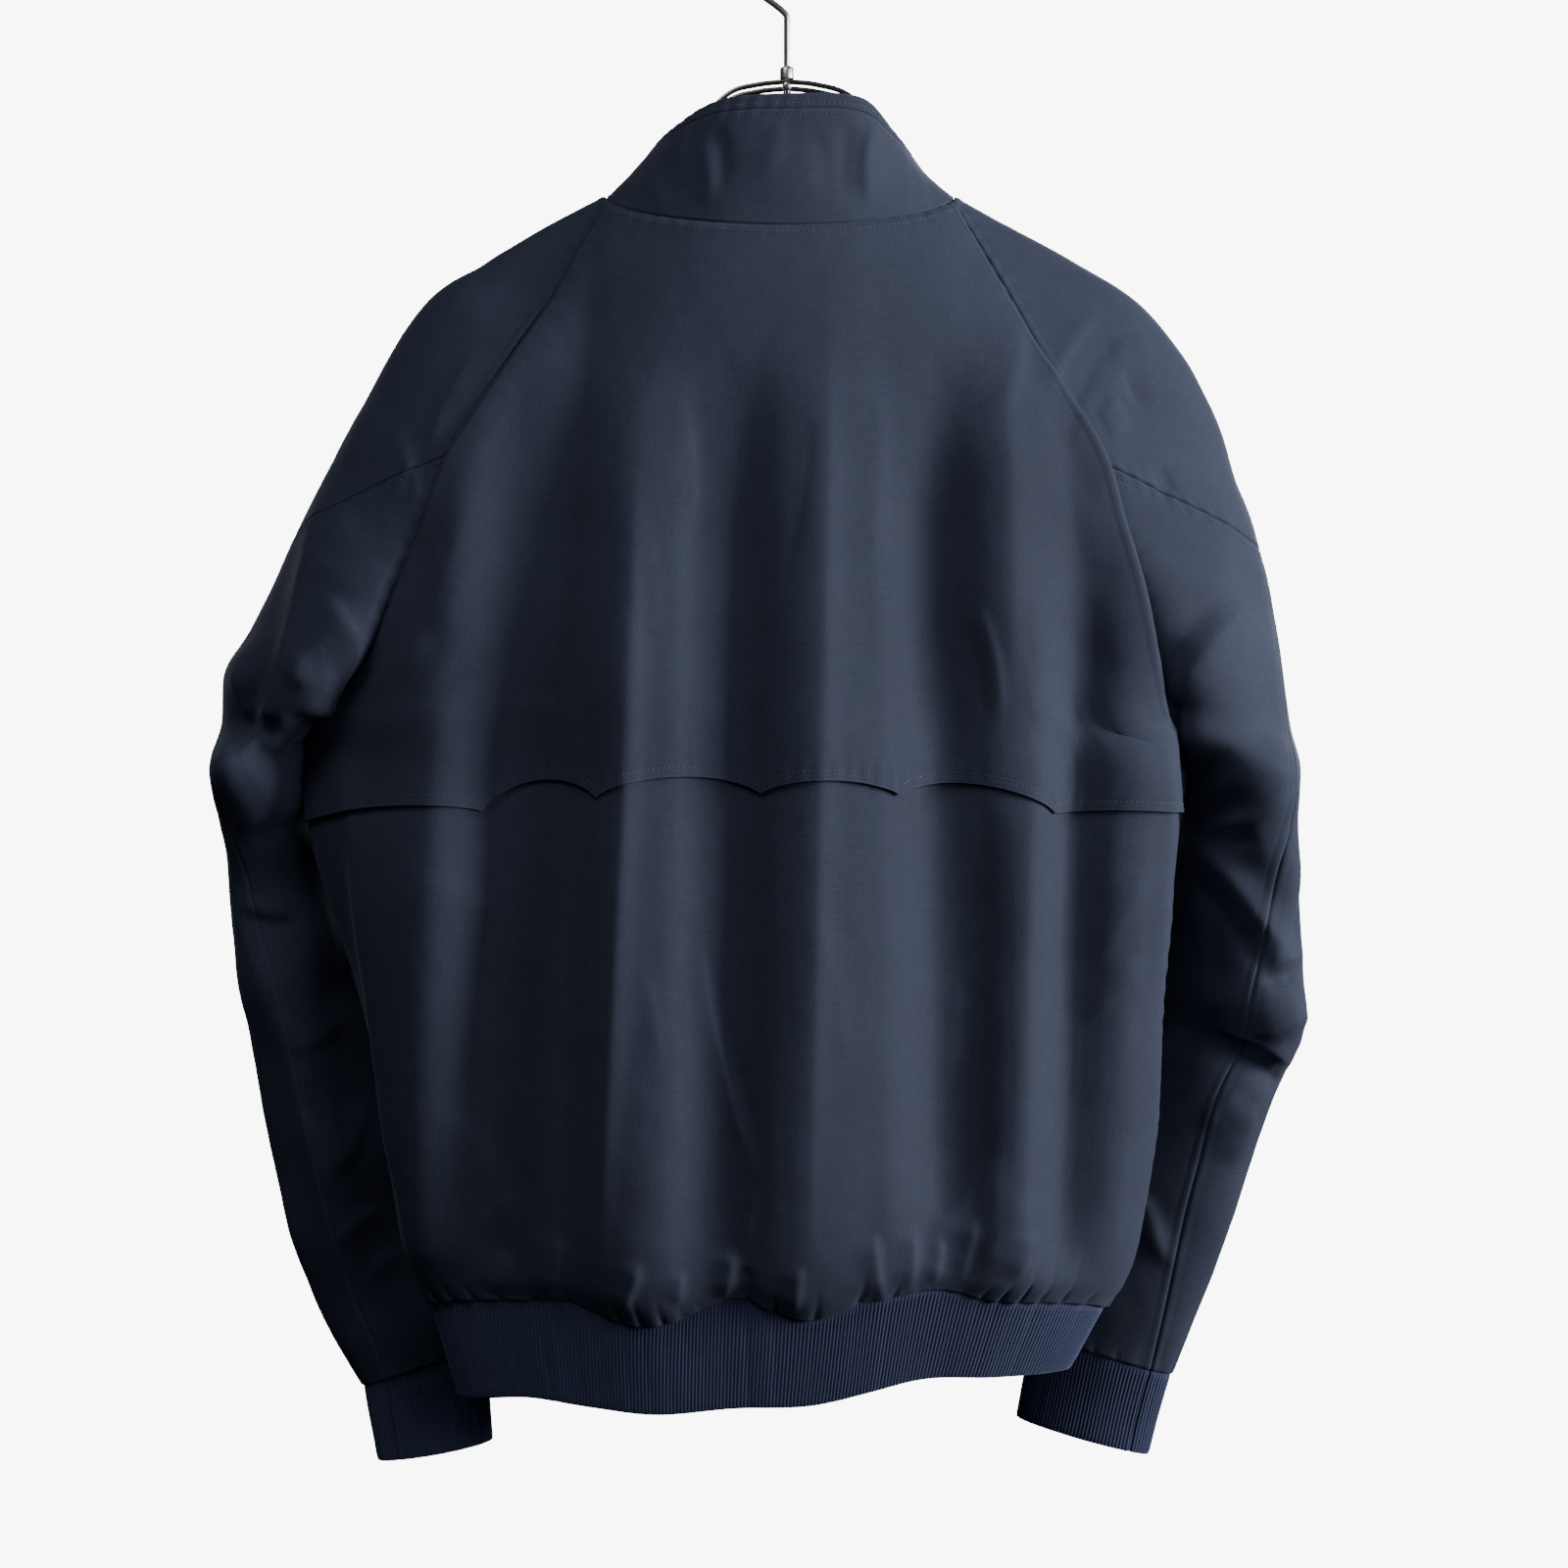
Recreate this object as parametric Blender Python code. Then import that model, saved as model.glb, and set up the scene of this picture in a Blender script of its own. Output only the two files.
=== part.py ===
# Harrington jacket hung on a wire hanger. The jacket's back faces -Y, +Z is up, and the origin is
# the inner crest of the hanger's hook. Tables are in millimetres; the meshes are made in metres.

import math

import bmesh
import bpy
import numpy as np

MM = 0.001

# Cloth
SHELL = 1.4          # wall of the shell cloth with its lining
YOKE_WALL = 1.0
YOKE_EDGE_RISE = 0.5
# The yoke's rim, in from the seams that catch it, and its rise beside the armpits
YOKE_INSET, YOKE_ARM_INSET, YOKE_ARM_RISE = 0.3, 3.6, 1.3
LAY_GAP = 0.35       # between a panel and what lies on it
KNIT = 2.4           # folded rib knit
COLLAR_WALL = 2.4
SEAM_GAP = 0.3       # between two pieces at a seam
COLLAR_BAND = 0.12   # share of the collar's height that is its edge strip
COLLAR_AXIS_Y = 12.0 # middle of the neck
HEM_DRAW_LEFT, HEM_DRAW_RIGHT = 0.922, 0.89    # the rib's lower edge against its seam
HEM_DRAW_DEEP = 0.06
HEM_FOOT_FRONT = -864.0
HEM_SIDE_X = 210.0   # where the front's foot meets the back's
CUFF_DRAW = 0.05     # the foot is a little narrower
CUFF_WAIST = 0.1     # and its middle flatter

# Columns of the panels; the last rows before a knit rib have twice as many for the gathers
BACK_COLS, FRONT_COLS, SLEEVE_COLS = 36, 12, 24
ELBOW_COL, OUTER_COL = 9, 12
UNDERARM_ROW, CROSS_ROW, HEM_ROW = 10, 5, 20
FINE_ROWS = 1
GATHER_DEPTH = 1.5
INNER_SPACING = 6.8    # of fine columns, near the middle of the back and at the zip

# Zip and slider
EDGE_FROM_ZIP, TAPE_HALF, CHAIN_HALF = 5.0, 13.0, 3.0
CHAIN_TOP_ROW = 1
TAPE_WALL, CHAIN_RISE = 1.0, 0.6
SLIDER_WIDE, SLIDER_LONG, SLIDER_PLATE = 9.0, 12.0, 1.8
LUG_WALL, LUG_X, PIN_R = 1.2, 2.7, 0.7
EYE_R, EYE_HOLE_R, EYE_HALF = 1.9, 1.0, 1.7
TAB_WIDE, TAB_LONG, TAB_WALL = 6.5, 27.0, 1.3
SLIDER_Z, SLIDER_CLEAR, PIVOT_RISE, PIVOT_UP = -283.0, 0.9, 3.1, 2.0
LUG_TALL, LUG_PAST = 3.4, 1.4
NECK_TALL, NECK_THINNER = 5.2, 0.2

# Hanger
HOOK_WIRE_R, HOOK_BEND_Z, HOOK_CENTRE_Z, HOOK_R = 1.9, -60.0, -26.43, 28.33
HOOK_FOOT_Z, HOOK_TIP_TURN, HOOK_FOOT_TURN = -92.0, -25.0, 237.5
FERRULE_R, FERRULE_TOP, FERRULE_FOOT = 4.2, -92.3, -99.8
FRAME_WIRE_R, FRAME_HALF_DEPTH, FRAME_POINTS = 1.5, 11.0, 13
BOLT_R, BOLT_HEAD_R, BOLT_HALF, BOLT_HEAD, BOLT_Z = 1.1, 2.6, 15.4, 1.8, -106.1


def table(columns, *rows):
    """A short table as a dictionary of named columns."""
    return dict(zip(columns.split(), np.array(rows, float).T))


# Raglan seams and shoulder line of each side, a row per station from the collar to the underarm.
# The turn is the angle at which the body's section meets the seam, in degrees from its side.
RAGLAN_COLUMNS = (
    "back_x back_y back_z back_turn ridge_x ridge_y ridge_z front_x front_y front_z front_turn elbow"
)
RAGLAN_LEFT = table(
    RAGLAN_COLUMNS,
    (-104, -12, -173, 20, -107, 3, -168, -92, 30, -189, 14, 0.75),
    (-121, -25, -203, 30, -144, 3, -187, -108, 40, -222, 26, 0.75),
    (-138, -36, -234, 38, -178, 3, -208, -124, 47, -254, 34, 0.76),
    (-158, -45, -264, 44, -212.5, 3, -231.5, -141, 51, -286, 40, 0.80),
    (-178, -52, -295, 47, -251, 4, -294, -158, 53, -317, 43, 0.86),
    (-197, -56, -326, 46, -290, 8, -370, -176, 54, -348, 43, 0.93),
    (-211, -58, -366, 42, -304, 12, -399, -194, 54, -379, 41, 0.90),
    (-226, -56, -404, 36, -318, 16, -425, -211, 53, -409, 37, 0.87),
    (-243, -47, -442, 26, -331, 20, -449, -228, 50, -438, 31, 0.84),
    (-274, -16, -477, 2, -334, 24, -478, -258, 35, -470, 14, 0.82),
)
RAGLAN_RIGHT = table(
    RAGLAN_COLUMNS,
    (97, -12, -173, 20, 99, 3, -168, 86, 30, -189, 14, 0.75),
    (113, -25, -202, 30, 131, 3, -186, 102, 40, -222, 26, 0.75),
    (129, -35, -231, 38, 167, 3, -206, 118, 47, -254, 34, 0.76),
    (145, -43, -262, 44, 212, 3, -236, 134, 50, -286, 40, 0.80),
    (163, -49, -295, 47, 247, 2, -292, 150, 52, -317, 43, 0.86),
    (180, -52, -329, 46, 277, 2, -377, 165, 53, -348, 43, 0.93),
    (190, -53, -366, 42, 285, 4, -408, 178, 53, -381, 41, 0.90),
    (201, -52, -403, 36, 289, 6, -432, 190, 52, -413, 37, 0.87),
    (208, -44, -440, 28, 293, 8, -458, 201, 48, -446, 31, 0.84),
    (212, -27, -480, 12, 297, 10, -482, 210, 34, -478, 24, 0.82),
)

# Middle line of the back and of the fronts, a row per station from the collar to the hem rib
MIDDLE = table(
    "station back_x back_y back_z front_x front_y front_z",
    (0, -3, -50, -192, 0, 66, -252),
    (1, -4, -56, -214, 0, 67, -272),
    (2, -5, -61, -240, 0, 67, -295),
    (3, -7, -66, -268, 0, 66, -319),
    (4, -9, -70, -298, 0, 65, -344),
    (5, -11, -73, -330, 0, 64, -370),
    (7, -17, -78, -404, 0, 63, -424),
    (10, -22, -80, -501, 0, 62, -503),
    (13, -20, -77, -606, 0, 61, -608),
    (16, -15, -74, -714, 0, 59, -716),
    (18, -12, -70, -776, 0, 57, -781),
    (19, -11, -66, -796, 0, 53, -803),
    (20, -11, -58, -808, 0, 47, -818),
)

# The body's sides under the arms, a row per station; turns place the side seams on the section
SIDES = table(
    "station z left_out left_turn right_out right_turn side_y",
    (10, -498, -283, -2, 232, 0, 0),
    (11, -538, -280, -6, 225, 4, -3),
    (12, -573, -271.5, -9, 226, 7, -3),
    (13, -609, -259.5, -11, 224, 8, -3),
    (14, -645, -248, -12, 220, 8, -2),
    (15, -681, -236, -12, 215.5, 8, -2),
    (16, -717, -229.5, -12, 209.5, 7, -1),
    (17, -751, -226, -11, 206.5, 6, 0),
    (18, -782, -223.5, -10, 203.5, 5, 0),
    (19, -805, -217, -9, 197, 4, 0),
    (20, -820, -210, -8, 187, 4, 0),
)
HEM_DROOPS = table(
    "x half_width drop",
    (-80, 52, 15),
    (12, 40, 12),
    (84, 34, -5),
)

HEM_FOOT = table(
    "x z",
    (-190, -872),
    (-150, -868),
    (-112, -872),
    (-78, -875),
    (-30, -871),
    (17, -869),
    (48, -862),
    (75, -856),
    (125, -856),
    (165, -856),
)

# Sleeve sections from the underarm to the cuff. long and short are the half-widths of the oval,
# turn the angle from +X to its long way in plan, seam and elbow the places of its two seams.
SLEEVE_COLUMNS = "outer_z outer_x middle_y long short turn tilt seam elbow"
SLEEVE_LEFT = table(
    SLEEVE_COLUMNS,
    (-505, -335, 12, 62, 23, 70, 12, 90, 203),
    (-536, -331, 43, 66, 26, 66, 4, 86, 180),
    (-570, -328.5, 52, 70, 30, 52, 0, 78, 165),
    (-620, -323.5, 58, 73, 29, 46, 2, 70, 152),
    (-675, -315.5, 61, 73, 29, 40, 4, 60, 145),
    (-730, -307, 63, 71, 28, 33, 8, 48, 140),
    (-783, -295.5, 64, 66, 28, 25, 12, 36, 136),
    (-830, -279.5, 64, 58, 27, 18, 17, 24, 134),
    (-858, -265, 63, 50, 25, 14, 19, 16, 133),
    (-875, -255, 61, 37.5, 20, 11, 19, 10, 132),
)
SLEEVE_RIGHT = table(
    SLEEVE_COLUMNS,
    (-505, 299, 10, 60, 32, 70, 0, 90, 203),
    (-538, 298, 29, 66, 29, 58, 0, 86, 180),
    (-571, 300, 39, 70, 30, 50, 0, 78, 160),
    (-630, 304, 47, 73, 30, 44, 2, 68, 140),
    (-668, 302, 50, 73, 30, 40, 3, 62, 134),
    (-694, 289, 52, 71, 29, 37, 4, 56, 132),
    (-740, 275, 55, 67, 28, 31, 8, 46, 132),
    (-790, 258.5, 58, 62, 27, 24, 12, 34, 134),
    (-838, 243, 60, 54, 25, 17, 16, 20, 137),
    (-868, 231, 61, 42.5, 20, 11, 16, 10, 138),
)
SLEEVE_STATION = np.array([0, 1, 2, 3.6, 5.2, 6.6, 8, 9.3, 10.2, 11]) / 11
SLEEVE_ROWS = 11

# Cuff ribs, left and right: length, lean toward the body, how far the foot levels out
CUFFS = table(
    "length lean level",
    (53, 6, 0.6),
    (50, 11, 0.15),
)

# Collar: where its top edge stands for each part of the way round the neck, left end to right end
COLLAR_TOP = table(
    "around top_x top_y top_z belly",
    (0.00, -57, 93, -205, 0),
    (0.13, -84, 60, -168, 0),
    (0.26, -79, 12, -139, -1),
    (0.33, -62.5, -20, -128, -1),
    (0.41, -38, -38, -118, 1),
    (0.50, 1, -43, -115.5, 2),
    (0.59, 44.5, -38, -117.5, 0),
    (0.66, 61, -20, -131, -2),
    (0.74, 77, 10, -149, -2),
    (0.87, 83, 60, -174, 0),
    (1.00, 56, 92, -205, 0),
)

# Soft folds of the body: a line from top to bottom, half-width and rise outward
BACK_FOLDS = table(
    "top_x top_z foot_x foot_z half_width rise",
    (-203, -300, -214, -800, 44, 7),
    (-143, -250, -176, -805, 38, -9),
    (-90, -220, -87, -805, 42, 8),
    (-32, -250, -40, -800, 32, -6),
    (20, -215, 14, -800, 44, 6),
    (79, -250, 86, -800, 32, -6),
    (128, -230, 128, -805, 38, 7),
    (170, -380, 160, -800, 30, -9),
)
FRONT_FOLDS = table(
    "top_x top_z foot_x foot_z half_width rise",
    (-176, -330, -190, -800, 40, 6),
    (-112, -300, -128, -800, 36, -8),
    (-62, -300, -72, -800, 30, 5),
    (64, -300, 70, -800, 30, -6),
    (118, -300, 124, -800, 38, 7),
    (170, -360, 160, -800, 34, -7),
)
# Large folds of the sleeves: a line across the cloth that leans, its half-width and rise
SLEEVE_FOLDS = table(
    "side start_x start_z end_x end_z half_width rise",
    (-1, -318, -452, -262, -486, 16, 7),
    (-1, -310, -486, -268, -508, 15, -7),
    (-1, -326, -540, -276, -522, 17, 6),
    (-1, -322, -640, -268, -600, 24, 4),
    (-1, -290, -770, -236, -742, 22, 4),
    (1, 296, -560, 232, -585, 20, 6),
    (1, 300, -600, 246, -545, 22, -6),
    (1, 302, -650, 236, -628, 20, 6),
    (1, 296, -676, 240, -664, 15, -5),
    (1, 262, -770, 196, -742, 22, 4),
)

# Scalloped edge of the yoke: its points, and the top of the arch after each
SCALLOPS = table(
    "tip_x tip_z arch_x arch_z",
    (-281, -536, -219, -526),
    (-175, -529, -131, -511),
    (-108, -521, -57, -509),
    (-14, -519, 26, -511),
    (63, -520, 98, -513),
    (152, -530, 188, -528),
    (228, -530, 240, -530),
)
EDGE_SPLITS = 4      # points of the scalloped edge to one column of the back

# Hanger frame wire: half of it, from the hook outward, for each side
FRAME = table(
    "left_x left_z right_x right_z",
    (0, -103, 0, -103),
    (-18, -105, 18, -105),
    (-34, -110, 36, -111),
    (-50, -127, 52, -129),
    (-68, -154, 68, -160),
    (-92, -180, 88, -181),
    (-118, -190, 112, -190),
    (-160, -213, 154, -213),
    (-196, -237, 188, -235),
)


def unit(v):
    return v / np.maximum(np.linalg.norm(v, axis=-1, keepdims=True), 1e-9)


def ease(x):
    x = np.clip(x, 0, 1)
    return x * x * (3 - 2 * x)


def through(knots, values, at):
    """A smooth line through the values at the knots, read at other places."""
    knots = np.asarray(knots, float)
    values = np.asarray(values, float)
    at = np.asarray(at, float)
    slopes = np.gradient(values, knots, axis=0)
    i = np.clip(np.searchsorted(knots, at, side="right") - 1, 0, len(knots) - 2)
    step = knots[i + 1] - knots[i]
    t = (at - knots[i]) / step
    if values.ndim > 1:
        t = t[..., None]
        step = step[..., None]
    rest = 1 - t
    ends = values[i] * (1 + 2 * t) * rest**2 + values[i + 1] * (1 + 2 * rest) * t**2
    return ends + step * (slopes[i] * t * rest**2 - slopes[i + 1] * rest * t**2)


def spaced(line, count):
    """The line as count + 1 points. Those near its end keep one spacing where the line is long."""
    far = np.concatenate([[0], np.cumsum(np.linalg.norm(np.diff(line, axis=0), axis=1))])
    even = min(1.0, INNER_SPACING * count / far[-1])
    out = np.linspace(1, 0, count + 1)
    at = far[-1] * (1 - out * even - (1 - even) * out ** 3)
    return np.stack([np.interp(at, far, line[:, k]) for k in range(3)], axis=1)


def bump(x):
    """1 in the middle, 0 from -1 and 1 outward, smooth."""
    return np.where(np.abs(x) < 1, (1 - np.clip(x * x, 0, 1)) ** 2, 0)


# ---- Sleeve sections ----

def sleeve_rings(sections, side):
    """Rings of a sleeve below the underarm, rows x fine columns x 3, and the middle of each."""
    rows = np.linspace(0, 1, SLEEVE_ROWS + 1)
    keys = ("outer_z", "outer_x", "middle_y", "long", "short", "turn", "tilt", "seam", "elbow")
    read = {key: through(SLEEVE_STATION, sections[key], rows) for key in keys}
    rings, middles = [], []
    for r in range(SLEEVE_ROWS + 1):
        turn = math.radians(read["turn"][r])
        long_way = np.array([-side * math.cos(turn), math.sin(turn)])
        short_way = np.array([-side * math.sin(turn), -math.cos(turn)])
        a, b = read["long"][r], read["short"][r]
        reach = math.hypot(a * long_way[0], b * short_way[0])
        outer = 180 + math.degrees(math.atan2(b * abs(short_way[0]), a * abs(long_way[0])))
        seam, elbow = read["seam"][r], read["elbow"][r]
        stops = (0, 2 * ELBOW_COL, 2 * OUTER_COL, 2 * SLEEVE_COLS)
        angles = np.interp(np.arange(2 * SLEEVE_COLS + 1), stops, (seam, elbow, outer, seam + 360))
        angles = np.radians(angles)[:, None]
        middle = np.array([read["outer_x"][r] - side * reach, read["middle_y"][r]])
        flat = middle + a * np.cos(angles) * long_way + b * np.sin(angles) * short_way
        inward = np.abs(flat[:, 0] - read["outer_x"][r])
        level = read["outer_z"][r] + inward * math.tan(math.radians(read["tilt"][r]))
        rings.append(np.column_stack([flat, level]))
        middles.append(np.array([middle[0], middle[1], level.mean()]))
    return np.array(rings), np.array(middles)


def hermite(a, lead_a, b, lead_b, t):
    t = np.asarray(t)[:, None]
    rest = 1 - t
    return (a * (1 + 2 * t) * rest**2 + b * (1 + 2 * rest) * t**2
            + lead_a * t * rest**2 - lead_b * rest * t**2)


# ---- Body ----

def body_edges(name, face, underarm):
    """Seam points x, y, z and turn of one side of the back or fronts, for every station."""
    raglan = RAGLAN_LEFT if name == "left" else RAGLAN_RIGHT
    seam = np.column_stack([raglan[face + "_" + key] for key in ("x", "y", "z")])
    turns = raglan[face + "_turn"]
    at = np.arange(UNDERARM_ROW, HEM_ROW + 1)
    side_turn = through(SIDES["station"], SIDES[name + "_turn"], at)
    middle_y = through(MIDDLE["station"], MIDDLE["back_y"], at)
    outs = {}
    for key in ("left_out", "right_out", "z", "side_y"):
        outs[key] = through(SIDES["station"], SIDES[key], at)
    middle_x = (outs["left_out"] + outs["right_out"]) / 2
    half = outs[name + "_out"] - middle_x
    deep = outs["side_y"] - middle_y
    x = middle_x + half * np.cos(np.radians(side_turn))
    y = middle_y + deep * (1 - np.sin(np.radians(side_turn)))
    low = np.column_stack([x, y, outs["z"]])
    low[0] = underarm
    if face == "front":
        side_turn = -side_turn
    return np.concatenate([seam, low]), np.concatenate([turns, side_turn])


def body_halves(face, left_arm, right_arm):
    """Left and right half of the back, or of the fronts, by row, each from its seam to the middle."""
    left, left_turn = body_edges("left", face, left_arm)
    right, right_turn = body_edges("right", face, right_arm)
    stations = np.arange(HEM_ROW + 1)
    middle = np.column_stack([
        through(MIDDLE["station"], MIDDLE[face + key], stations) for key in ("_x", "_y", "_z")
    ])
    halves = []
    for r in stations:
        both = []
        for edge, turn in ((left[r], left_turn[r]), (right[r], right_turn[r])):
            angle = np.radians(np.linspace(turn, 90, 90))
            part = (1 - np.sin(angle)) / (1 - math.sin(math.radians(turn)))
            across = np.cos(angle) / math.cos(math.radians(turn))
            shares = np.column_stack([across, part, part])
            both.append(middle[r] + (edge - middle[r]) * shares)
        halves.append(both)
    return halves


def fold_height(folds, x, z):
    """How far the folds lift the cloth at these places."""
    total = np.zeros_like(x)
    for top_x, top_z, foot_x, foot_z, half, rise in zip(*folds.values()):
        down = (z - top_z) / (foot_z - top_z)
        line = top_x + (foot_x - top_x) * down
        fade = ease(down / 0.22) * ease((1.04 - down) / 0.12)
        total += rise * bump((x - line) / half) * fade
    return total


def hem_droop(points, share):
    """The hem hangs in shallow waves; share is 1 at the seam and 0 well above it."""
    for x, half, drop in zip(*HEM_DROOPS.values()):
        points[:, 2] -= drop * share * bump((points[:, 0] - x) / half)


def gathers(count):
    """Uneven little gathers for this many fine columns, -1 to 1."""
    k = np.arange(count)
    return np.sin(2 * math.pi * k / 3.7 + 1.3 * np.sin(k * 0.41)) * (0.75 + 0.25 * np.sin(k * 0.83))


def facing(points, way):
    """Normals of a grid of points, turned so that they face outward on the whole."""
    normals = unit(np.cross(np.gradient(points, axis=1), np.gradient(points, axis=0)))
    if (normals * way).sum() < 0:
        normals = -normals
    return normals


def lift_folds(points, way, folds):
    normals = facing(points, way)
    height = fold_height(folds, points[..., 0], points[..., 2])
    edge = np.linspace(0, 1, points.shape[1])
    calm = ease(edge / 0.08) * ease((1 - edge) / 0.08)
    return points + normals * (height * calm)[..., None]


def add_gathers(points, way):
    """Gathers in the row above the seam with a rib."""
    normals = facing(points, way)
    wave = gathers(points.shape[1])
    wave[[0, -1]] = 0
    points[-2] += normals[-2] * (GATHER_DEPTH * wave)[:, None]
    return points


left_rings, left_middles = sleeve_rings(SLEEVE_LEFT, -1)
right_rings, right_middles = sleeve_rings(SLEEVE_RIGHT, 1)
LEFT_ARM, RIGHT_ARM = left_rings[0, 0], right_rings[0, 0]
BACKWARD, FORWARD, DOWN = np.array([0, -1.0, 0]), np.array([0, 1.0, 0]), np.array([0, 0, -1.0])


def make_back():
    points = []
    for left, right in body_halves("back", LEFT_ARM, RIGHT_ARM):
        halves = (spaced(left, BACK_COLS), spaced(right, BACK_COLS)[::-1][1:])
        points.append(np.concatenate(halves))
    points = lift_folds(np.array(points), BACKWARD, BACK_FOLDS)
    for r, share in ((HEM_ROW, 1.0), (HEM_ROW - 1, 0.85), (HEM_ROW - 2, 0.45)):
        hem_droop(points[r], share)
    return add_gathers(points, BACKWARD)


def make_front(side):
    points = []
    for halves in body_halves("front", LEFT_ARM, RIGHT_ARM):
        line = halves[0] if side < 0 else halves[1]
        line = line[side * line[:, 0] > EDGE_FROM_ZIP]
        edge = line[-1].copy()
        edge[0] = side * EDGE_FROM_ZIP
        points.append(spaced(np.concatenate([line, [edge]]), 2 * FRONT_COLS))
    points = lift_folds(np.array(points), FORWARD, FRONT_FOLDS)
    return add_gathers(points, FORWARD)


def make_sleeve(side, rings, raglan, back, front):
    """Cap rows from the raglan seams over the shoulder, then the rings down to the cuff."""
    half = 2 * OUTER_COL
    cap = []
    back_edge = back[:, 0] if side < 0 else back[:, -1]
    back_next = back[:, 2] if side < 0 else back[:, -3]
    front_edge, front_next = front[:, 0], front[:, 2]
    ring = rings[0]
    ridge = np.column_stack([raglan["ridge_x"], raglan["ridge_y"], raglan["ridge_z"]])
    ridge = np.concatenate([ridge, [ring[half]]])
    end_leads = (
        (ring[1] - ring[0]) * half, (ring[half + 1] - ring[half - 1]) * half / 2,
        (ring[half + 1] - ring[half - 1]) * half / 2, (ring[-1] - ring[-2]) * half,
    )
    for r in range(UNDERARM_ROW):
        a, o, c = back_edge[r], ridge[r], front_edge[r]
        blend = ease((r - 5) / (UNDERARM_ROW - 5))
        leads = []
        for edge, beyond, near in ((a, back_next, back_edge), (c, front_next, front_edge)):
            out = unit(near[r] - beyond[r])
            along = unit(near[r + 1] - near[max(r - 1, 0)])
            toward = o - edge
            square = unit(out - along * (out @ along))
            way = unit(along * (toward @ along) + square * max(toward @ square, 1.0))
            leads.append(way * 1.5 * np.linalg.norm(toward[[0, 2]]))
        lead_a = leads[0] * (1 - blend) + end_leads[0] * blend
        lead_c = -leads[1] * (1 - blend) + end_leads[3] * blend
        over = np.array([0, 1.0, 0])
        lead_o1 = over * 1.5 * abs(o[1] - a[1]) * (1 - blend) + end_leads[1] * blend
        lead_o2 = over * 1.5 * abs(c[1] - o[1]) * (1 - blend) + end_leads[2] * blend
        stops = (0, 2 * ELBOW_COL, half)
        first = np.interp(np.arange(half + 1), stops, (0, raglan["elbow"][r], 1))
        second = np.linspace(0, 1, half + 1)[1:]
        cap.append(np.concatenate([
            hermite(a, lead_a, o, lead_o1, first), hermite(o, lead_o2, c, lead_c, second),
        ]))
    return np.concatenate([np.array(cap), rings])


def sleeve_folds(points, side, normals):
    """Lifts the cloth along leaning lines, on the back of the sleeve and again on its front."""
    total = np.zeros(points.shape[:2])
    for where, x0, z0, x1, z1, half, rise in zip(*SLEEVE_FOLDS.values()):
        if where != side:
            continue
        start, way = np.array([x0, z0]), np.array([x1 - x0, z1 - z0])
        length = np.linalg.norm(way)
        way = way / length
        flat = points[..., [0, 2]] - start
        along = (flat @ way) / length
        off = flat @ np.array([-way[1], way[0]])
        fade = ease((along + 0.45) / 0.4) * ease((1.3 - along) / 0.4)
        total += rise * bump(off / half) * fade
    calm = np.ones(points.shape[:2])
    calm[:UNDERARM_ROW] *= ease((np.arange(UNDERARM_ROW) - 4) / 5)[:, None]
    column = np.arange(points.shape[1])
    at_seam = ease(column / 8) * ease((points.shape[1] - 1 - column) / 8)
    calm *= at_seam
    calm[-2:] *= 0.3
    calm[-1] = 0
    calm *= ease(np.abs(normals[..., 1]) / 0.7)
    return points + normals * (total * calm)[..., None]


# ---- Walls ----

class Sheet:
    """Outer points of a piece by row and fine column, with normals that face outward."""

    def __init__(self, points, way):
        self.points = points
        self.normals = facing(points, way)
        self.own = self.normals.copy()


def share_normals(sheets):
    """Where sheets meet at a seam, they get one normal, so that their walls meet cleanly."""
    met = {}
    for sheet in sheets:
        for r in range(sheet.points.shape[0]):
            for c in range(sheet.points.shape[1]):
                key = tuple(np.round(sheet.points[r, c], 2))
                met.setdefault(key, []).append((sheet, r, c))
    for places in met.values():
        if len(places) > 1:
            total = unit(sum(sheet.normals[r, c] for sheet, r, c in places))
            if len(places) > 3 and places[0][1] == UNDERARM_ROW:
                total = DOWN
            for sheet, r, c in places:
                sheet.normals[r, c] = total


def cells(first, last, start, end, fine_from=10**6, ring=0):
    """Faces over rows first..last and coarse columns start..end as keys (row, fine column)."""
    faces = []
    for r in range(first, last):
        for k in range(start, end):
            a, m, b = 2 * k, 2 * k + 1, 2 * k + 2
            if ring:
                b %= ring
            if r >= fine_from:
                faces.append([(r, a), (r, m), (r + 1, m), (r + 1, a)])
                faces.append([(r, m), (r, b), (r + 1, b), (r + 1, m)])
            elif r == fine_from - 1:
                faces.append([(r, a), (r, b), (r + 1, b), (r + 1, m), (r + 1, a)])
            else:
                faces.append([(r, a), (r, b), (r + 1, b), (r + 1, a)])
    return faces


def rib_cells(rows, columns, ring=0):
    """Faces of a knit band: fine at its seam, coarse below."""
    faces = []
    for k in range(columns):
        a, m, b = 2 * k, 2 * k + 1, 2 * k + 2
        if ring:
            b %= ring
        faces.append([(1, a), (0, a), (0, m), (0, b), (1, b)])
        faces += [[(r, a), (r, b), (r + 1, b), (r + 1, a)] for r in range(1, rows)]
    return faces


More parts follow.
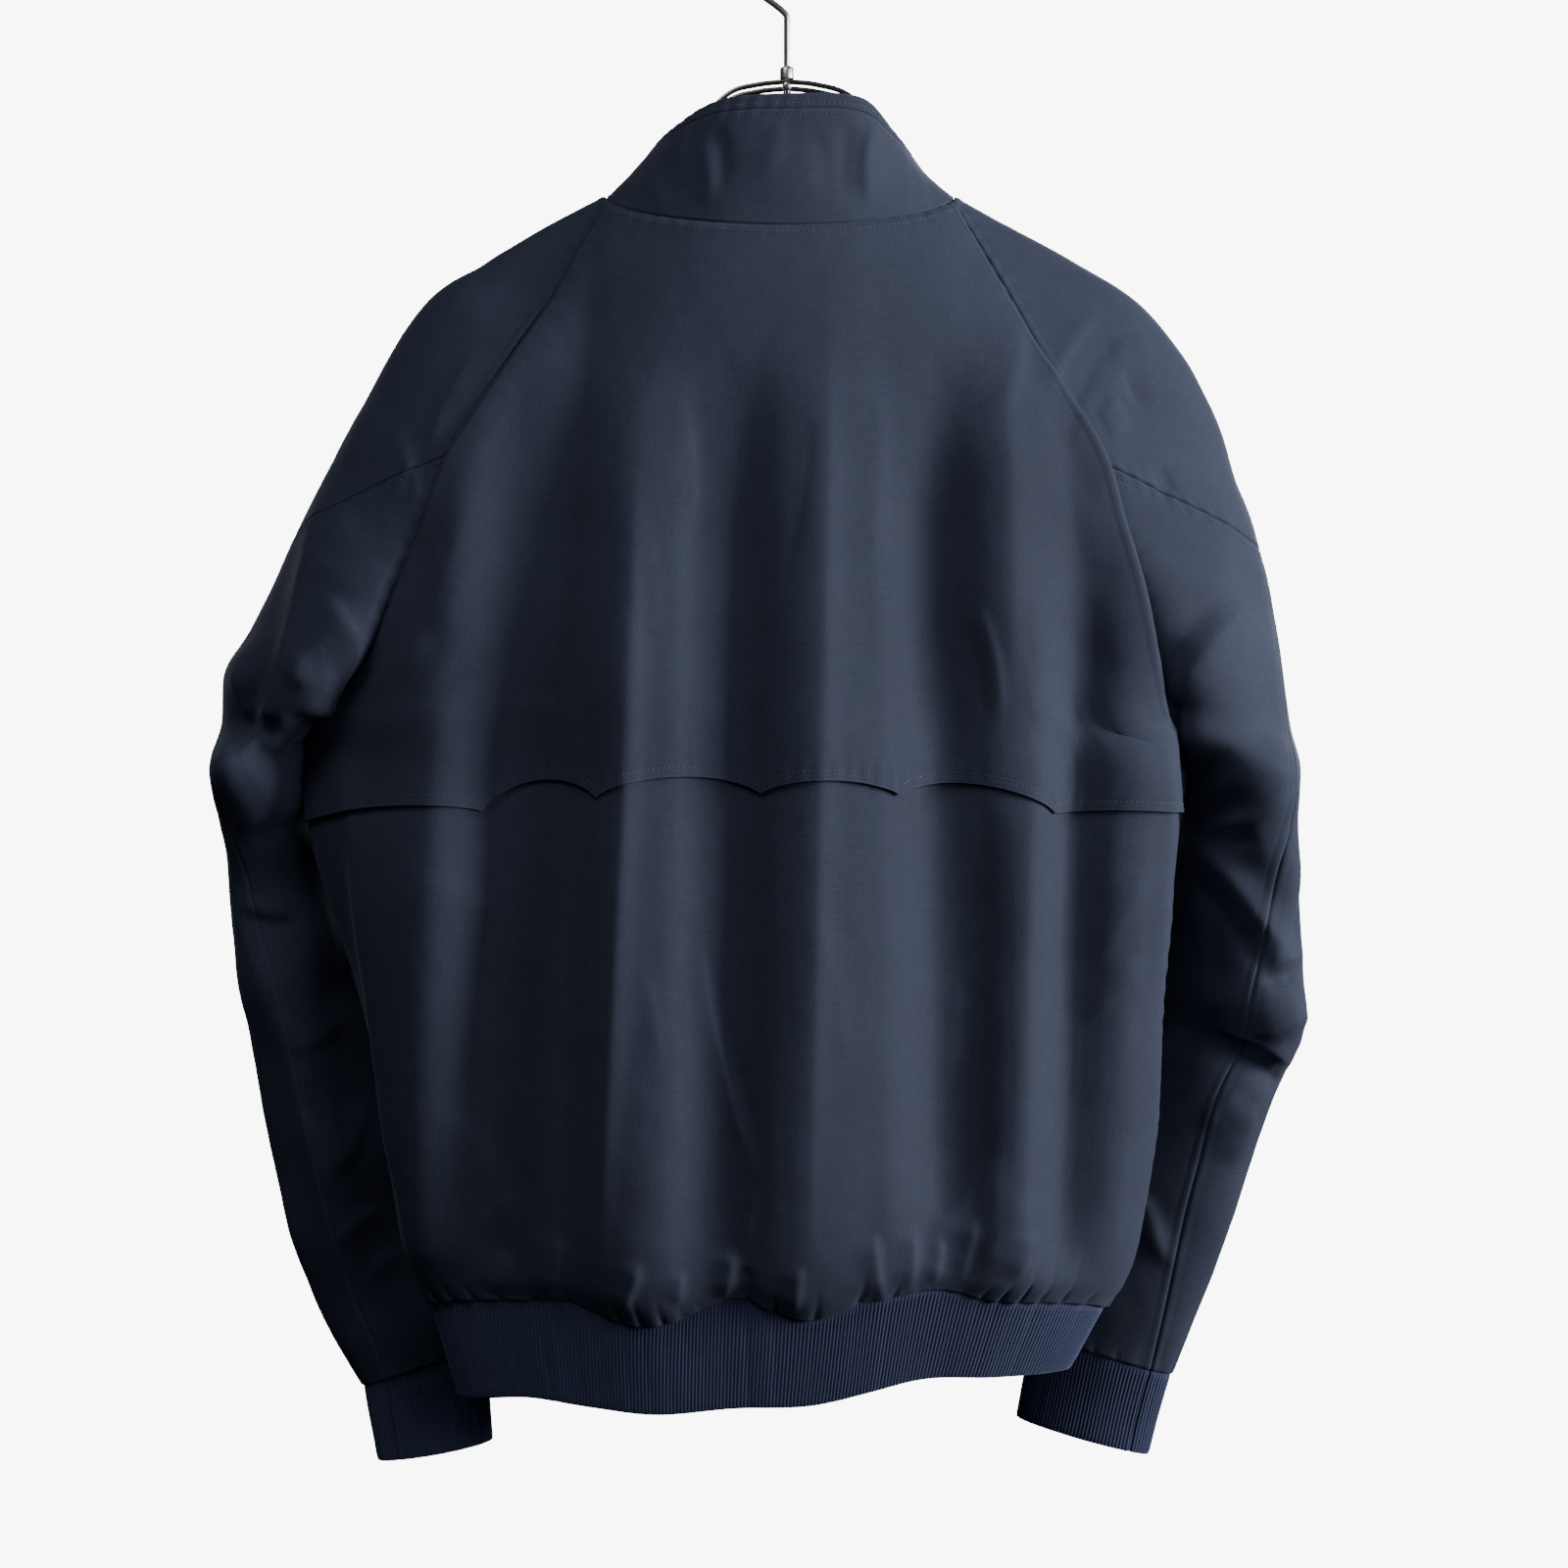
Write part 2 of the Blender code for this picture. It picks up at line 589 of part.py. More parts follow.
def edge_shifts(faces, points, normals, gap):
    """How far each point on the rim of the faces moves in, so that the rim lies gap inside."""
    edges = {}
    for face in faces:
        for a, b in zip(face, face[1:] + face[:1]):
            edges[(a, b)] = face
    inward = {}
    for (a, b), face in edges.items():
        if (b, a) in edges:
            continue
        along = unit(points[b] - points[a])
        normal = unit(normals[a] + normals[b])
        way = unit(np.cross(normal, along))
        centre = sum(points[key] for key in face) / len(face)
        if way @ (centre - (points[a] + points[b]) / 2) < 0:
            way = -way
        inward.setdefault(a, []).append(way)
        inward.setdefault(b, []).append(way)
    shifts = {}
    for key, ways in inward.items():
        total = sum(ways)
        shifts[key] = gap(key) * total / max(0.5, 1 + (ways[0] @ ways[-1] if len(ways) > 1 else 0))
    return shifts


def seam_gap(key):
    return SEAM_GAP / 2


def wide_gap(key):
    return 1.5 * SEAM_GAP


def no_gap(key):
    return 0.0


def arm_gap(key):
    """The sleeve's pieces stand further apart where its inner seam leaves the underarm."""
    at_seam = key[1] in (0, 2 * SLEEVE_COLS) and UNDERARM_ROW <= key[0] <= UNDERARM_ROW + 1
    return SEAM_GAP * (1.4 if at_seam else 0.5)


def wall(name, faces, points, normals, thick, lift=0.0, gap=seam_gap):
    """A closed wall of cloth: the outer points, and the same points moved in along the normals."""
    faces = [
        [face[0], face[i], face[i + 1]] for face in faces for i in range(1, len(face) - 1)
    ]
    keys = sorted({key for face in faces for key in face})
    index = {key: i for i, key in enumerate(keys)}
    shifts = edge_shifts(faces, points, normals, gap)
    outer, inner = [], []
    for key in keys:
        base = points[key] + shifts.get(key, np.zeros(3))
        outer.append(base + normals[key] * lift)
        inner.append(base + normals[key] * (lift - thick))
    count = len(keys)
    polygons = [[index[key] for key in face] for face in faces]
    directed = {(a, b) for face in polygons for a, b in zip(face, face[1:] + face[:1])}
    sides = [[b, a, a + count, b + count] for a, b in directed if (b, a) not in directed]
    inside = [[i + count for i in reversed(face)] for face in polygons]
    mesh = bpy.data.meshes.new(name)
    mesh.from_pydata(np.array(outer + inner) * MM, [], polygons + inside + sorted(sides))
    solid = bmesh.new()
    solid.from_mesh(mesh)
    if solid.calc_volume(signed=True) < 0:
        bmesh.ops.reverse_faces(solid, faces=solid.faces)
    solid.to_mesh(mesh)
    solid.free()
    mesh.shade_smooth()
    mesh.set_sharp_from_angle(angle=math.radians(50))
    mesh.update()
    item = bpy.data.objects.new(name, mesh)
    pieces.objects.link(item)
    return item


def sheet_wall(name, sheet, faces, thick, lift=0.0, gap=seam_gap):
    keys = {key for face in faces for key in face}
    points = {key: sheet.points[key] for key in keys}
    normals = {key: sheet.normals[key] for key in keys}
    return wall(name, faces, points, normals, thick, lift, gap)


def material(name, colour, roughness, metallic=0.0):
    paint = bpy.data.materials.new(name)
    paint.use_nodes = True
    shader = paint.node_tree.nodes["Principled BSDF"]
    shader.inputs["Base Color"].default_value = (*colour, 1)
    shader.inputs["Roughness"].default_value = roughness
    shader.inputs["Metallic"].default_value = metallic
    return paint


def dress(item, paint):
    item.data.materials.clear()
    item.data.materials.append(paint)


# ---- Scene ----

for old in list(bpy.data.objects):
    bpy.data.objects.remove(old, do_unlink=True)
pieces = bpy.data.collections.new("harrington_jacket")
guides = bpy.data.collections.new("cutters")
bpy.context.scene.collection.children.link(pieces)
bpy.context.scene.collection.children.link(guides)

# Points of the panels
back = make_back()
fronts = {-1: make_front(-1), 1: make_front(1)}
sleeves = {
    -1: make_sleeve(-1, left_rings, RAGLAN_LEFT, back, fronts[-1]),
    1: make_sleeve(1, right_rings, RAGLAN_RIGHT, back, fronts[1]),
}


def sleeve_way(points):
    return points - points.mean(axis=1, keepdims=True)


for side, grid in sleeves.items():
    lifted = sleeve_folds(grid, side, facing(grid, sleeve_way(grid)))
    sleeves[side] = add_gathers(lifted, sleeve_way(lifted))

# Cuff ribs: from the sleeve's last ring along the way that the sleeve runs
CUFF_ROWS = 2


def make_cuff(points, side):
    last = points[-1]
    middle = last[:-1].mean(axis=0)
    length, lean, level = (CUFFS[key][0 if side < 0 else 1] for key in ("length", "lean", "level"))
    way = np.array([-side * lean, 0, -length])
    rows = [last]
    for step in range(1, CUFF_ROWS + 1):
        share = step / CUFF_ROWS
        waist = 1 - CUFF_WAIST * math.sin(math.pi * share)
        draw = np.array([1 - CUFF_DRAW * share, waist, 1 - level * share])
        rows.append(middle + (last - middle) * draw + way * share)
    return np.array(rows)


cuffs = {side: make_cuff(points, side) for side, points in sleeves.items()}

# Hem rib: from the left zip edge round the back to the right zip edge
seam_line = np.concatenate([
    fronts[-1][-1][::-1], back[-1][1:], fronts[1][-1][1:],
])
HEM_ROWS = 2
centre = seam_line.mean(axis=0)
hem_rows = [seam_line]
for step in range(1, HEM_ROWS + 1):
    share = step / HEM_ROWS
    drawn = np.where(seam_line[:, 0] < 0, HEM_DRAW_LEFT, HEM_DRAW_RIGHT)
    row = seam_line.copy()
    row[:, 0] *= 1 - (1 - drawn) * share
    row[:, 1] *= 1 - HEM_DRAW_DEEP * share
    foot = through(HEM_FOOT["x"], HEM_FOOT["z"], np.clip(row[:, 0], *HEM_FOOT["x"][[0, -1]]))
    to_side = np.abs(row[:, 0]) / HEM_SIDE_X
    foot = np.where(row[:, 1] < 0, foot, HEM_FOOT_FRONT + (foot - HEM_FOOT_FRONT) * to_side)
    row[:, 2] += (foot - row[:, 2]) * share
    row[0, 0], row[-1, 0] = -EDGE_FROM_ZIP, EDGE_FROM_ZIP
    hem_rows.append(row)
hem = np.array(hem_rows)

# Collar: from the neck line up to its top edge
COLLAR_ROWS = 5
NECK_STEP, NECK_SLEEVE_STEP = 4, 12

neck = np.concatenate([
    fronts[-1][0][::-1][::NECK_STEP],
    sleeves[-1][0][::-1][::NECK_SLEEVE_STEP][1:],
    back[0][::NECK_STEP][1:],
    sleeves[1][0][::NECK_SLEEVE_STEP][1:],
    fronts[1][0][::NECK_STEP][1:],
])


def make_collar():
    far = np.concatenate([[0], np.cumsum(np.linalg.norm(np.diff(neck, axis=0), axis=1))])
    around = far / far[-1]
    top = np.column_stack([
        through(COLLAR_TOP["around"], COLLAR_TOP[key], around) for key in ("top_x", "top_y", "top_z")
    ])
    belly = through(COLLAR_TOP["around"], COLLAR_TOP["belly"], around)
    outward = unit((neck - np.array([0, COLLAR_AXIS_Y, 0])) * np.array([1, 1, 0]))
    rows = []
    split = 1 - COLLAR_BAND
    for share in list(np.linspace(0, split, COLLAR_ROWS + 1)) + [1.0]:
        bulge = 4 * share * (1 - share) * belly
        rows.append(neck + (top - neck) * share + outward * bulge[:, None])
    return np.array(rows)


collar = make_collar()

sheets = {
    "back": Sheet(back, BACKWARD),
    "left_front": Sheet(fronts[-1], FORWARD),
    "right_front": Sheet(fronts[1], FORWARD),
    "left_sleeve": Sheet(sleeves[-1], sleeve_way(sleeves[-1])),
    "right_sleeve": Sheet(sleeves[1], sleeve_way(sleeves[1])),
    "left_cuff": Sheet(cuffs[-1], sleeve_way(cuffs[-1])),
    "right_cuff": Sheet(cuffs[1], sleeve_way(cuffs[1])),
    "hem_rib": Sheet(hem, (hem - centre) * np.array([1, 1, 0])),
    "collar": Sheet(collar, (collar - np.array([0, COLLAR_AXIS_Y, 0])) * np.array([1, 1, 0])),
}
share_normals(sheets.values())

navy = (0.018, 0.026, 0.050)
rib_blue = (0.010, 0.016, 0.042)
fine = HEM_ROW - FINE_ROWS
sleeve_last = UNDERARM_ROW + SLEEVE_ROWS
sleeve_fine = sleeve_last - FINE_ROWS

item = sheet_wall("back", sheets["back"], cells(0, HEM_ROW, 0, BACK_COLS, fine), SHELL)
dress(item, material("back_cloth", navy, 0.75))
for name in ("left_front", "right_front"):
    item = sheet_wall(name, sheets[name], cells(0, HEM_ROW, 0, FRONT_COLS, fine), SHELL)
    dress(item, material(name + "_cloth", navy, 0.75))
for name in ("left_sleeve", "right_sleeve"):
    under = cells(CROSS_ROW, sleeve_last, 0, ELBOW_COL, sleeve_fine)
    top = cells(0, CROSS_ROW, 0, ELBOW_COL)
    top += cells(0, sleeve_last, ELBOW_COL, SLEEVE_COLS, sleeve_fine)
    item = sheet_wall(name + "_under", sheets[name], under, SHELL, 0.0, arm_gap)
    dress(item, material(name + "_under_cloth", navy, 0.75))
    item = sheet_wall(name + "_top", sheets[name], top, SHELL, 0.0, arm_gap)
    dress(item, material(name + "_top_cloth", navy, 0.75))
for name in ("left_cuff", "right_cuff"):
    ring = rib_cells(CUFF_ROWS, SLEEVE_COLS, 2 * SLEEVE_COLS)
    item = sheet_wall(name, sheets[name], ring, KNIT)
    dress(item, material(name + "_knit", rib_blue, 0.9))
hem_cols = (seam_line.shape[0] - 1) // 2
item = sheet_wall("hem_rib", sheets["hem_rib"], rib_cells(HEM_ROWS, hem_cols), KNIT)
dress(item, material("hem_knit", rib_blue, 0.9))


def plain_cells(first, last, columns):
    """Faces between neighbouring points of a grid."""
    return [
        [(r, c), (r, c + 1), (r + 1, c + 1), (r + 1, c)]
        for r in range(first, last) for c in range(columns)
    ]


collar_cols = neck.shape[0] - 1
item = sheet_wall("collar", sheets["collar"], plain_cells(0, COLLAR_ROWS, collar_cols), COLLAR_WALL)
dress(item, material("collar_cloth", navy, 0.75))
edge_faces = plain_cells(COLLAR_ROWS, COLLAR_ROWS + 1, collar_cols)
item = sheet_wall("collar_edge", sheets["collar"], edge_faces, COLLAR_WALL, 0.0, wide_gap)
dress(item, material("collar_edge_cloth", navy, 0.75))


# Yoke: the back's own points down to a scalloped edge, moved out
def scallop_z(x):
    """Height of the yoke's lower edge: arches between pointed tips."""
    tips, heights = SCALLOPS["tip_x"], SCALLOPS["tip_z"]
    i = int(np.clip(np.searchsorted(tips, x, side="right") - 1, 0, len(tips) - 2))
    share = np.clip((x - tips[i]) / (tips[i + 1] - tips[i]), 0, 1)
    chord = heights[i] + (heights[i + 1] - heights[i]) * share
    middle = (heights[i] + heights[i + 1]) / 2
    rise = SCALLOPS["arch_z"][i] - middle
    return chord + rise * (4 * share * (1 - share)) ** 0.7


def drawn_in(grid, r, c, toward, far):
    """A rim point moved this far along the facet edge toward its inner neighbour."""
    way = grid[toward] - grid[r, c]
    return grid[r, c] + way * min(far / np.linalg.norm(way), 0.6)


def make_yoke():
    sheet = sheets["back"]
    whole = UNDERARM_ROW
    coarse = range(0, 2 * BACK_COLS + 1, 2)
    points = {(r, c): sheet.points[r, c] for r in range(whole + 1) for c in coarse}
    normals = {key: sheet.own[key] for key in points}
    for c in coarse:
        points[(0, c)] = drawn_in(sheet.points, 0, c, (1, c), YOKE_INSET)
    for r in range(whole + 1):
        far = YOKE_INSET + (YOKE_ARM_INSET - YOKE_INSET) * float(ease((r - 5) / 4))
        for c, near in ((0, 2), (2 * BACK_COLS, 2 * BACK_COLS - 2)):
            points[(r, c)] = drawn_in(sheet.points, r, c, (r, near), far)
            normals[(r, c)] = sheet.own[r, near]
            for key in ((r, c), (r, near)):
                points[key] = points[key] + normals[key] * YOKE_ARM_RISE * float(ease((r - 6) / 2))
    for k in range(BACK_COLS * EDGE_SPLITS + 1):
        cell = min(k // EDGE_SPLITS, BACK_COLS - 1)
        corners = [
            (whole, 2 * cell), (whole, 2 * cell + 2), (whole + 1, 2 * cell + 2), (whole + 1, 2 * cell),
        ]
        upper = [sheet.points[key] for key in corners[:2]]
        inset = YOKE_ARM_INSET / np.linalg.norm(upper[1] - upper[0])
        least, most = inset * (cell == 0), 1 - inset * (cell == BACK_COLS - 1)
        across = float(np.clip(k / EDGE_SPLITS - cell, least, most))
        aim = scallop_z(upper[0][0] + across * (upper[1][0] - upper[0][0]))
        tall = upper[0][2] - sheet.points[corners[3]][2]
        down = 0.5
        for step in range(12):
            weights = facet_weights(across, down)
            place = sum(w * sheet.points[key] for w, key in zip(weights, corners))
            down = float(np.clip(down + (place[2] - aim) / tall, 0.02, 0.98))
        weights = facet_weights(across, down)
        lean = unit(sum(w * sheet.own[key] for w, key in zip(weights, corners)))
        place = sum(w * sheet.points[key] for w, key in zip(weights, corners))
        points[(whole + 1, k)] = place + lean * YOKE_EDGE_RISE
        normals[(whole + 1, k)] = lean
    faces = cells(0, whole, 0, BACK_COLS)
    for k in range(BACK_COLS):
        lower = [(whole + 1, k * EDGE_SPLITS + s) for s in range(EDGE_SPLITS, -1, -1)]
        faces.append([(whole, 2 * k), (whole, 2 * k + 2)] + lower)
    return wall("back_yoke", faces, points, normals, YOKE_WALL, LAY_GAP + YOKE_WALL, no_gap)


def facet_weights(across, down):
    """Shares of a cell's four corners at a place on its two triangles."""
    if down <= across:
        return 1 - across, across - down, down, 0.0
    return 1 - down, 0.0, across, down - across


dress(make_yoke(), material("yoke_cloth", navy, 0.75))


# Zip: tapes behind the fronts' edges, the chain between them
def zip_line():
    rows = np.concatenate([fronts[1][CHAIN_TOP_ROW:, -1], hem[1:, -1]])
    rows[:, 0] = 0
    return rows


def zip_strip(name, half, lift, thick, paint):
    line = zip_line()
    across = np.array([-half, half])
    points = line[:, None, :] + across[None, :, None] * np.array([1.0, 0, 0])
    strip = Sheet(points, FORWARD)
    item = sheet_wall(name, strip, plain_cells(0, len(line) - 1, 1), thick, lift)
    dress(item, paint)


tape_lift = -(KNIT + LAY_GAP)
zip_strip("zip_tapes", TAPE_HALF, tape_lift, TAPE_WALL, material("tape_cloth", navy, 0.8))
chain_thick = CHAIN_RISE - tape_lift - LAY_GAP
aged = (0.45, 0.42, 0.36)
zip_strip("zip_chain", CHAIN_HALF, CHAIN_RISE, chain_thick, material("chain_metal", aged, 0.35, 1.0))


def box(name, size, place):
    bpy.ops.mesh.primitive_cube_add(size=1)
    item = bpy.context.object
    item.name = item.data.name = name
    item.scale = [s * MM for s in size]
    item.location = [p * MM for p in place]
    bpy.ops.object.transform_apply(location=True, rotation=True, scale=True)
    return item


def rod(name, radius, start, end, sides=16):
    """A round rod from start to end."""
    start, end = np.array(start, float), np.array(end, float)
    bpy.ops.mesh.primitive_cylinder_add(
        vertices=sides, radius=radius * MM, depth=np.linalg.norm(end - start) * MM)
    item = bpy.context.object
    item.name = item.data.name = name
    way = unit(end - start)
    item.rotation_euler = (math.acos(way[2]), 0, math.atan2(way[1], way[0]) + math.pi / 2)
    item.location = (start + end) / 2 * MM
    bpy.ops.object.transform_apply(location=True, rotation=True, scale=True)
    return item


def into(item, collection):
    for old in list(item.users_collection):
        old.objects.unlink(item)
    collection.objects.link(item)


def cutter(item):
    into(item, guides)
    item.hide_render = True
    item.display_type = "WIRE"
    return item


def joined(item, others, operation):
    for other in others:
        step = item.modifiers.new(other.name, "BOOLEAN")
        step.operation = operation
        step.solver = "EXACT"
        step.object = cutter(other)


# Slider and pull tab
front_line = zip_line()
slider_y = float(np.interp(-SLIDER_Z, -front_line[:, 2], front_line[:, 1])) + SLIDER_CLEAR
plate_y = slider_y + CHAIN_RISE + SLIDER_PLATE / 2
pivot_z = SLIDER_Z + PIVOT_UP
pivot_y = slider_y + CHAIN_RISE + SLIDER_PLATE + PIVOT_RISE
slider = box("zip_slider", (SLIDER_WIDE, SLIDER_PLATE, SLIDER_LONG), (0, plate_y, SLIDER_Z))
into(slider, pieces)
lugs = []
for way in (-1, 1):
    lug_deep = pivot_y + LUG_PAST - plate_y
    lug_place = (way * LUG_X, plate_y + lug_deep / 2, pivot_z)
    lugs.append(box("slider_lug", (LUG_WALL, lug_deep, LUG_TALL), lug_place))
pin = rod("slider_pin", PIN_R, (-LUG_X, pivot_y, pivot_z), (LUG_X, pivot_y, pivot_z), 12)
joined(slider, lugs + [pin], "UNION")
dress(slider, material("slider_metal", aged, 0.3, 1.0))

tab_middle = pivot_z - TAB_LONG / 2
tab = box("zip_pull", (TAB_WIDE, TAB_WALL, TAB_LONG - 5), (0, pivot_y, tab_middle - 2.2))
into(tab, pieces)
neck_size = (2 * (EYE_HALF - NECK_THINNER), TAB_WALL - NECK_THINNER, NECK_TALL)
neck_piece = box("tab_neck", neck_size, (0, pivot_y, pivot_z - 4.0))
barrel = rod("tab_barrel", EYE_R, (-EYE_HALF, pivot_y, pivot_z), (EYE_HALF, pivot_y, pivot_z), 16)
joined(tab, [neck_piece, barrel], "UNION")
hole = rod("tab_hole", EYE_HOLE_R, (-5, pivot_y, pivot_z), (5, pivot_y, pivot_z), 12)
joined(tab, [hole], "DIFFERENCE")
dress(tab, material("pull_metal", aged, 0.3, 1.0))


# Hanger
def wire(name, points, radius, closed, around):
    curve = bpy.data.curves.new(name, "CURVE")
    curve.dimensions = "3D"
    curve.bevel_depth = radius * MM
    curve.bevel_resolution = around
    curve.use_fill_caps = not closed
    line = curve.splines.new("POLY")
    line.points.add(len(points) - 1)
    for point, place in zip(line.points, points):
        point.co = (*(np.array(place) * MM), 1)
    line.use_cyclic_u = closed
    item = bpy.data.objects.new(name, curve)
    pieces.objects.link(item)
    return item


def hook_points():
    turns = np.radians(np.linspace(HOOK_TIP_TURN, HOOK_FOOT_TURN, 22))
    line = [(HOOK_R * math.cos(t), 0, HOOK_CENTRE_Z + HOOK_R * math.sin(t)) for t in turns]
    line += [(-1.6, 0, HOOK_BEND_Z + 1.0), (-0.3, 0, HOOK_BEND_Z - 0.7), (0, 0, HOOK_BEND_Z - 2.2)]
    return line + [(0, 0, HOOK_FOOT_Z)]


def frame_points():
    """Both wires of the frame as one loop, with a round turn at each end."""
    share = np.linspace(0, len(FRAME["left_x"]) - 1, FRAME_POINTS)
    knots = np.arange(len(FRAME["left_x"]))
    sides = []
    for side in ("left", "right"):
        sides.append(np.column_stack([through(knots, FRAME[side + key], share) for key in ("_x", "_z")]))
    left, right = sides
    line = np.concatenate([left[::-1], right[1:]])
    near = [(x, -FRAME_HALF_DEPTH, z) for x, z in line]
    back_way = [(x, FRAME_HALF_DEPTH, z) for x, z in line[::-1]]
    ends = []
    for at, before in ((line[-1], line[-2]), (line[0], line[1])):
        way = unit(at - before)
        turn = []
        for angle in np.radians((30, 60, 90, 120, 150)):
            out = FRAME_HALF_DEPTH * math.sin(angle)
            deep = -FRAME_HALF_DEPTH * math.cos(angle)
            turn.append((at[0] + way[0] * out, deep, at[1] + way[1] * out))
        ends.append(turn)
    return near + ends[0] + back_way + ends[1][::-1]


satin, dark = (0.62, 0.62, 0.60), (0.05, 0.05, 0.05)
hook = wire("hanger_hook", hook_points(), HOOK_WIRE_R, False, 2)
dress(hook, material("hook_metal", satin, 0.3, 1.0))
frame = wire("hanger_frame", frame_points(), FRAME_WIRE_R, True, 1)
dress(frame, material("frame_metal", dark, 0.4, 1.0))
ferrule = rod("hanger_ferrule", FERRULE_R, (0, 0, FERRULE_FOOT), (0, 0, FERRULE_TOP), 20)
into(ferrule, pieces)
dress(ferrule, material("ferrule_metal", satin, 0.3, 1.0))
bolt = rod("hanger_bolt", BOLT_R, (0, -BOLT_HALF, BOLT_Z), (0, BOLT_HALF, BOLT_Z), 12)
into(bolt, pieces)
heads = []
for way in (-1, 1):
    ends = [(0, way * far, BOLT_Z) for far in (BOLT_HALF - BOLT_HEAD, BOLT_HALF)]
    heads.append(rod("bolt_head", BOLT_HEAD_R, *ends, 16))
joined(bolt, heads, "UNION")
dress(bolt, material("bolt_metal", satin, 0.3, 1.0))
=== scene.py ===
# Harrington jacket hung on a wire hanger: woven shell, knit ribs, zip and hanger wires.
# The jacket's back faces -Y, +Z is up, and the origin is the inner crest of the hanger's hook.
# Tables are in millimetres; the meshes are made in metres.

import math

import bpy
import numpy as np
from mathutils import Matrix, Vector, noise


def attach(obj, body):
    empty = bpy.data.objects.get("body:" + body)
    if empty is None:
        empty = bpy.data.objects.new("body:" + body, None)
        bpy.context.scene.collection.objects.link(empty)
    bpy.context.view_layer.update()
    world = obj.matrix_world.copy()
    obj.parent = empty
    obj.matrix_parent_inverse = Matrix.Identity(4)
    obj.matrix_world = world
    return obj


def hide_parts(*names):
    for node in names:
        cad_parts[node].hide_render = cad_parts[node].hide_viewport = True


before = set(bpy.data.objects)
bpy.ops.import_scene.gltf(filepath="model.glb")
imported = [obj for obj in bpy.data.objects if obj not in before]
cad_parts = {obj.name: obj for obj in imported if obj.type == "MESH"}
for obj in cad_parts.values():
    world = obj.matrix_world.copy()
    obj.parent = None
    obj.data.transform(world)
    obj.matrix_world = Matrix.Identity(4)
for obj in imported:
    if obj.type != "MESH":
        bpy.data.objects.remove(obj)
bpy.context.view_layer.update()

MM = 0.001
UV_MM = 100.0        # one step of the cloth coordinates, in millimetres

# Cloth
SHELL = 1.2
YOKE_FLAP_WALL = 1.0
COLLAR_WALL, RIB_WALL = 2.2, 2.4
SEAM_TURN, SEAM_TURN_REACH = 0.75, 0.75       # cloth turned in at a seam
UNEVEN_HIGH, FINE_HIGH, FINE_SCALE = 0.8, 0.2, 13.0      # unevenness of hanging cloth
SEAM_WELT, SEAM_NIP, STITCH_IN = 0.14, 0.14, 5.5
YOKE_LIFT, YOKE_BILLOW = 1.9, 1.1
GATHER_DEEP, GATHER_REACH = 4.3, 13.0
RIB_PITCH, RIB_STEPS, RIB_DEPTH, LOOP_PITCH = 2.25, 6, 0.75, 1.5
ROUND_FOLD, COLLAR_TUCK = 0.9, 3.0
STITCH_PITCH, STITCH_LONG, STITCH_THICK = 3.0, 2.3, 0.42
STITCH_SIDES = 5
STITCH_RINGS = ((-0.5, 0.35, -0.2), (-0.22, 1.0, 0.45), (0.22, 1.0, 0.45), (0.5, 0.35, -0.2))
COLLAR_COLS, RIB_ROWS = 190, 7
ZIP_ROWS = 200
TOOTH_PITCH, TOOTH_DEEP, TOOTH_BACK = 1.25, 1.3, 0.6

# Colours of cloth, knit, thread and metal, linear
NAVY_DARK, NAVY_LIGHT = (0.0165, 0.0198, 0.035), (0.041, 0.049, 0.081)
RIB_DARK, RIB_LIGHT = (0.007, 0.0090, 0.028), (0.023, 0.029, 0.084)
THREAD_DARK, THREAD_LIGHT = (0.020, 0.030, 0.056), (0.060, 0.082, 0.135)
BRASS_DARK, BRASS_LIGHT = (0.30, 0.27, 0.20), (0.52, 0.47, 0.36)
STEEL_DARK, STEEL_LIGHT = (0.55, 0.55, 0.54), (0.72, 0.72, 0.70)
WIRE_DARK, WIRE_LIGHT = (0.10, 0.10, 0.10), (0.24, 0.235, 0.225)

# Form shared with the solids
COLLAR_BAND = 0.12   # share of the collar's height that is its edge strip
COLLAR_AXIS_Y = 12.0
HEM_DRAW_LEFT, HEM_DRAW_RIGHT, HEM_DRAW_DEEP = 0.922, 0.89, 0.06
HEM_FOOT_FRONT, HEM_SIDE_X = -864.0, 210.0
CUFF_DRAW, CUFF_WAIST = 0.05, 0.1
BACK_COLS, FRONT_COLS, SLEEVE_COLS = 36, 12, 24
ELBOW_COL, OUTER_COL = 9, 12
UNDERARM_ROW, CROSS_ROW, HEM_ROW = 10, 5, 20
INNER_SPACING = 6.8
KNIT, LAY_GAP = 2.4, 0.35
EDGE_FROM_ZIP, TAPE_HALF = 5.0, 13.0
CHAIN_TOP_ROW, TAPE_WALL, CHAIN_RISE = 1, 1.0, 0.6

# Hanger
HOOK_WIRE_R, HOOK_BEND_Z, HOOK_CENTRE_Z, HOOK_R = 1.9, -60.0, -26.43, 28.33
HOOK_FOOT_Z, HOOK_TIP_TURN, HOOK_FOOT_TURN = -92.0, -25.0, 237.5
FERRULE_R, FERRULE_TOP, FERRULE_FOOT = 4.2, -92.3, -99.8
FRAME_WIRE_R, FRAME_HALF_DEPTH = 1.5, 11.0
BOLT_R, BOLT_HEAD_R, BOLT_HALF, BOLT_HEAD, BOLT_Z = 1.1, 2.6, 15.4, 1.8, -106.1


def table(columns, *rows):
    """A short table as a dictionary of named columns."""
    return dict(zip(columns.split(), np.array(rows, float).T))


